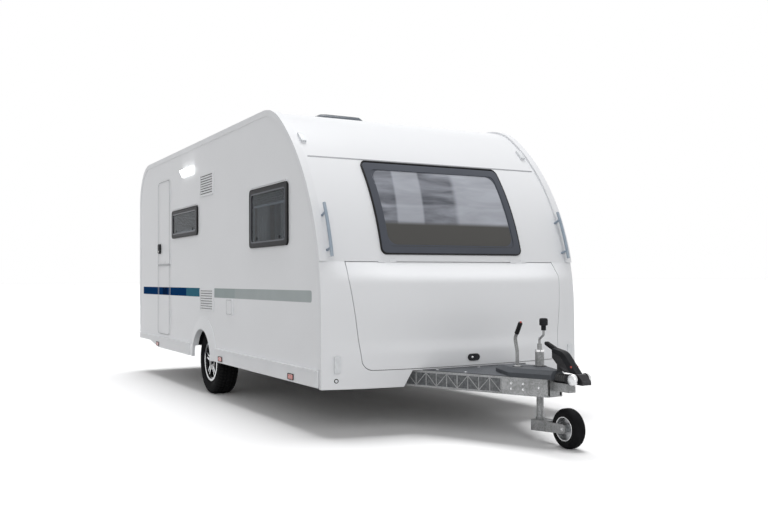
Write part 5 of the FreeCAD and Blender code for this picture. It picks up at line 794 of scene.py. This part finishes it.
def cover():
    """A grained cover with a raised hood over the overrun unit: upright sides and sloping facets above."""
    back, front, low, thick, top = 2.125, 3.070, 0.4503, 0.005, 0.058

    def mirrored(*half):
        return [(x, -y) for x, y in half] + list(reversed(half))

    sheet = slab(mirrored((back, 0.4405), (front, 0.0485)), low, low + thick, "Z")
    plan = mirrored((2.500, 0.070), (2.780, 0.174), (front, 0.058))
    crown = mirrored((2.550, 0.052), (2.785, 0.132), (front - 0.004, 0.030))
    hood = stacked([(plan, low), (plan, low + 0.030), (crown, low + top)])
    piece("cover_hood", *merged([sheet, hood]), "cover_grey", bevel=0.004, segments=3,
          stands_for=["drawbar_cover"])
    screw = [(0, 0), (0.011, 0), (0.010, 0.002), (0.004, 0.0032), (0, 0.0020)]
    screws = [turned(screw, (x, y, low + thick), (0, 0, 1), 20) for x, y in
              ((2.20, -0.36), (2.20, 0.36), (2.20, 0.0), (2.42, -0.27), (2.42, 0.27))]
    piece("cover_screws", *merged(screws), "zinc_bright", smooth=40)
    # A dark seam across the sheet, and a dark bar on the hood's top that is partly a seam and partly a painted
    # shadow line.
    seam_and_shadow_bars = [bar((2.150, -0.400), (2.150, 0.400), 0.002, low + thick, low + 0.0056, "Z"),
             bar((2.735, -0.040), (2.760, 0.060), 0.0022, low + top, low + 0.0590, "Z")]
    piece("cover_seams", *merged(seam_and_shadow_bars), "seal", slot="cover_grey")
    rings = [turned([(near, 0), (far, 0), (far - 0.002, 0.004), (near, 0.004)], (x, y, low + 0.056),
                    (0, 0, 1), 40)
             for x, y, near, far in ((LEVER_X, LEVER_Y, 0.030, 0.036), (JOCKEY_X, JOCKEY_Y, 0.0405, 0.047))]
    piece("cover_collars", *merged(rings), "seal", smooth=40, slot="cover_grey")


def eased(points, bends, steps=6):
    """An outline whose corners are rounded by the bends given."""
    out, count = [], len(points)
    for i, bend in enumerate(bends):
        here = Vector(points[i])
        if not bend:
            out.append(tuple(here))
            continue
        before = (Vector(points[i - 1]) - here).normalized()
        after = (Vector(points[(i + 1) % count]) - here).normalized()
        half = math.acos(max(-1, min(1, before.dot(after)))) / 2
        run = bend / math.tan(half)
        middle = here + (before + after).normalized() * bend / math.sin(half)
        start, end = here + before * run - middle, here + after * run - middle
        turn = start.angle_signed(end)
        for step in range(steps + 1):
            angle = -turn * step / steps
            out.append((middle.x + start.x * math.cos(angle) - start.y * math.sin(angle),
                        middle.y + start.x * math.sin(angle) + start.y * math.cos(angle)))
    return out


def strap(path, thick, low, high):
    """A bent flat bar: a path on the XZ plane given a thickness, from one y to another."""
    verts, faces = [], []
    for i, spot in enumerate(path):
        before, after = Vector(path[max(0, i - 1)]), Vector(path[min(len(path) - 1, i + 1)])
        way = (after - before).normalized()
        across = Vector((-way.y, way.x)) * thick / 2
        a, b = Vector(spot) + across, Vector(spot) - across
        verts += [(a.x, low, a.y), (a.x, high, a.y), (b.x, high, b.y), (b.x, low, b.y)]
    end = 4 * (len(path) - 1)
    for near in range(0, end, 4):
        faces += [(near + k, near + (k + 1) % 4, near + 4 + (k + 1) % 4, near + 4 + k) for k in range(4)]
    return verts, faces + [(0, 3, 2, 1), (end, end + 1, end + 2, end + 3)]


def levers():
    """The stabiliser's arch with its grip and release handle, the handbrake lever and the crank."""
    top = [(3.274, HEAD_TOP), (3.150, 0.634), (3.040, 0.653)]
    under = [(3.040, 0.623), (3.120, 0.604), (3.214, HEAD_TOP)]
    arch = slab(eased(top + under, [0, 0.110, 0.009, 0.009, 0.080, 0]), -0.026, 0.026, "Y")
    grip = eased([(3.070, 0.618), (3.070, 0.648), (2.954, 0.692), (2.954, 0.668)], [0, 0, 0.008, 0.008])
    piece("stabiliser_arch", *merged([arch, slab(grip, -0.013, 0.013, "Y")]), "trim_black", bevel=0.0035,
          segments=3, stands_for=["stabiliser_handle"])
    release = [(3.036, 0.590), (3.036, 0.628), (3.120, 0.606), (3.190, 0.530), (3.212, 0.5055), (3.150, 0.5055),
               (3.112, 0.534), (3.108, 0.5055), (3.084, 0.5055), (3.084, 0.550)]
    piece("release_lever", *slab(eased(release, [0.006] * 3 + [0.012] + [0.003] * 6), -0.021, 0.021, "Y"),
          "coupling", bevel=0.003, slot="trim_black")
    wire("handle_line", [(3.060, 0, 0.6195), (2.966, 0, 0.6600)], 0.0030, "lamp")
    parts = []
    for rib in range(9):
        x, _, z = Vector((3.052, 0, 0.655)).lerp(Vector((2.958, 0, 0.6905)), 0.08 + rib * 0.10)
        parts.append(cuboid((x - 0.002, -0.0142, z - 0.021), (x + 0.002, 0.0142, z + 0.001)))
    piece("handle_ribs", *merged(parts), "seal", bevel=0.0006)
    for sign, label in SIDES:
        dot = stud((3.226, sign * 0.026, 0.545), (0, sign, 0), 20, 0.007, 0.002, 0.005, 0.003)
        piece("handle_dot_" + label, *dot, "lamp", smooth=40, slot="trim_black")
    path = eased([(LEVER_X, 0.450), (2.716, 0.612), (2.694, 0.700), (2.712, 0.728)], [0, 0.05, 0.05, 0])
    foot = stud((LEVER_X, LEVER_Y, 0.500), (0, 0, 1), 32, 0.028, 0.010, 0.020, 0.016)
    piece("lever_strap", *merged([strap(path, 0.010, -0.062, -0.038), foot]), "galvanised", bevel=0.0015,
          stands_for=["handbrake_lever"])
    tip, way = Vector((2.754, LEVER_Y, 0.802)), Vector((0.5007, 0, 0.8656))
    profile = [(0.0, 0.0)]
    for rib in range(11):
        far = 0.004 + rib * 0.0076
        profile += [(0.0135, far), (0.0156, far + 0.0014), (0.0156, far + 0.0040), (0.0135, far + 0.0054)]
    profile += [(0.0150, 0.0872), (0.0130, 0.0912), (0.0, 0.0920)]
    piece("lever_sleeve", *turned(profile, tip - way * 0.088, way, 32), "seal", smooth=35)
    button = [(0, 0), (0.0062, 0), (0.0062, 0.006), (0.0045, 0.0085), (0, 0.0092)]
    piece("lever_button", *turned(button, tip + way * 0.004, way, 20), "lamp", smooth=40, slot="trim_black")
    end = JOCKEY_X + 0.044
    spots = eased([(JOCKEY_X, 0.655), (JOCKEY_X, 0.690), (end, 0.722), (end, 0.760)], [0, 0.012, 0.012, 0])
    crank = wire("crank_bar", [(x, JOCKEY_Y, z) for x, z in spots], 0.008, "galvanised")
    knob = turned([(0, 0), (0.0165, 0), (0.0165, 0.031), (0.0270, 0.034), (0.0285, 0.040), (0.0285, 0.070),
                   (0.0255, 0.0795), (0.0180, 0.0820), (0, 0.0825)], (end, JOCKEY_Y, 0.752), (0, 0, 1), 60,
                  lobes=12, dent=0.0012)
    grip = piece("crank_grip", *knob, "trim_black", smooth=35)
    for thing in (crank, grip):
        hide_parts("jockey_crank")
    bolt = hexes([(JOCKEY_X + 0.006, JOCKEY_Y - 0.008, 0.700)], (0, -1, 0), 0.0085, 0.007)
    piece("crank_bolt", *bolt, "zinc_bright", bevel=0.0005)


def lamps():
    """The lamps' solids again, with clear lenses at the front and red ones on the skirts, and frames."""
    for name, mat, slot, ahead in (("front_lenses", "lens_clear", "lamp_white", True),
                                   ("side_lenses", "lamp", "lamp", False)):
        mesh = nodes["marker_lamps"].data.copy()
        mesh.materials.clear()
        mesh.materials.append(M[mat])
        work = bmesh.new()
        work.from_mesh(mesh)
        gone = [face for face in work.faces if (face.calc_center_median().z > 0.43) != ahead]
        bmesh.ops.delete(work, geom=gone, context="FACES")
        for face in work.faces:
            face.material_index = 0
        work.to_mesh(mesh)
        work.free()
        thing = placed(name, mesh)
        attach(thing, "caravan")
        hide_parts("marker_lamps")
    for x in (-2.406, -0.196, 1.436):
        for _, label in SIDES:
            loops = hoop(x - 0.053, x + 0.053, 0.359, 0.405, 0, 0.005, 0.006, 0.004)
            piece(f"marker_frame_{label}_{round(abs(x) * 1000)}", *band(*loops, 0.018, 0.0245, WALLS[label]),
                  "seal", bevel=0.0006)


def coupling_details():
    """Ribbed caps and rings on the friction knobs, the collar's bolt and the jockey tube's ring."""
    cap = [(0, 0), (0.0386, 0), (0.0386, 0.0070), (0.0372, 0.0140), (0.0335, 0.0205), (0.0270, 0.0250),
           (0.0180, 0.0266), (0.0170, 0.0258), (0.0100, 0.0262), (0, 0.0262)]
    foot = [(0.0142, -0.0125), (0.0215, -0.0125), (0.0230, -0.0065), (0.0215, -0.0008), (0.0142, -0.0008)]
    for sign, label in SIDES:
        y, axis = sign * (HEAD_HALF + 0.014), (0, sign, 0)
        piece("knob_cap_" + label, *turned(cap, (KNOB_X, y, KNOB_Z), axis, 72, lobes=18, dent=0.0009),
              "zinc_bright", smooth=30, slot="coupling")
        piece("knob_ring_" + label, *turned(foot, (3.265, y, 0.465), axis, 40), "seal", smooth=40,
              slot="coupling")
    bolt = hexes([(JOCKEY_X, JOCKEY_Y - 0.040, 0.462)], (0, -1, 0), 0.010, 0.010)
    piece("collar_bolt", *bolt, "zinc_bright", bevel=0.0006)
    ring = [(0.0302, 0.606), (0.0318, 0.606), (0.0318, 0.6205), (0.0240, 0.6205), (0.0240, 0.6190)]
    piece("tube_ring", *turned(ring, (JOCKEY_X, JOCKEY_Y, 0), (0, 0, 1), 48), "zinc_bright", smooth=40)


# Cushions

PADS = (("seat_pad_right", (0.160, -1.000, 0.897), (1.496, -0.556, 1.014)),
        ("seat_pad_left", (0.160, 0.556, 0.897), (1.496, 1.000, 1.014)),
        ("seat_pad_front", (0.942, -0.548, 0.897), (1.496, 0.548, 1.014)),
        ("back_pad_right", (0.160, -1.112, 0.897), (1.496, -1.006, 1.364)),
        ("back_pad_left", (0.160, 1.006, 0.897), (1.496, 1.112, 1.364)),
        ("mattress_pad", (-3.272, -1.110, 0.877), (-2.515, 1.110, 1.024)))


def baked(thing):
    """The mesh of a piece with its modifiers applied."""
    return bpy.data.meshes.new_from_object(thing.evaluated_get(bpy.context.evaluated_depsgraph_get()))


def cushions():
    """Foam pads swollen by a cloth simulation, each inside the space of its solid."""
    scene, cap, frames, things = bpy.context.scene, 0.010, 20, []
    for name, low, high in PADS:
        low, high = Vector(low) + Vector((cap,) * 3), Vector(high) - Vector((cap,) * 3)
        mesh = bpy.data.meshes.new(name)
        verts, faces = cuboid(low, high)
        mesh.from_pydata(verts, [], faces)
        work = bmesh.new()
        work.from_mesh(mesh)
        bmesh.ops.recalc_face_normals(work, faces=work.faces)
        bmesh.ops.bevel(work, geom=list(work.edges), offset=0.018, segments=3, affect="EDGES", profile=0.5)
        work.to_mesh(mesh)
        work.free()
        thing = placed(name, mesh)
        settle(thing.modifiers.new("grid", "REMESH"), mode="VOXEL", voxel_size=0.024)
        fine = baked(thing)
        thing.modifiers.clear()
        thing.data = fine
        things.append(thing)
    rest = {thing.name: [v.co.copy() for v in thing.data.vertices] for thing in things}
    for thing in things:
        soft = thing.modifiers.new("soft", "CLOTH")
        settle(soft.settings, use_pressure=True, uniform_pressure_force=4.0, quality=4)
        soft.settings.effector_weights.gravity = 0
        settle(soft.point_cache, frame_start=1, frame_end=frames)
    for step in range(1, frames + 1):
        scene.frame_set(step)
    for thing, done in [(thing, baked(thing)) for thing in things]:
        for vertex, start in zip(done.vertices, rest[thing.name]):
            move = vertex.co - start
            if move.length > cap * 0.9:
                vertex.co = start + move * (cap * 0.9 / move.length)
        thing.modifiers.clear()
        thing.data = done
    scene.frame_set(1)
    for thing in things:
        thing.data.materials.clear()
        thing.data.materials.append(M["fabric"])
        for polygon in thing.data.polygons:
            polygon.use_smooth = True
            polygon.material_index = 0
        settle(thing.modifiers.new("smooth", "SUBSURF"), levels=1, render_levels=1)
        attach(thing, "caravan")
        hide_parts("cushions")


camera()
surroundings()
make_materials()
dress_nodes()
bpy.context.view_layer.update()
stripes()
for sign, label in SIDES:
    road_tyre(label, sign)
    rim_faces(label, sign)
jockey_details()
front_window()
side_windows()
body_details()
roof_lights()
rear_details()
drawbar_details()
cover()
levers()
coupling_details()
lamps()
cushions()
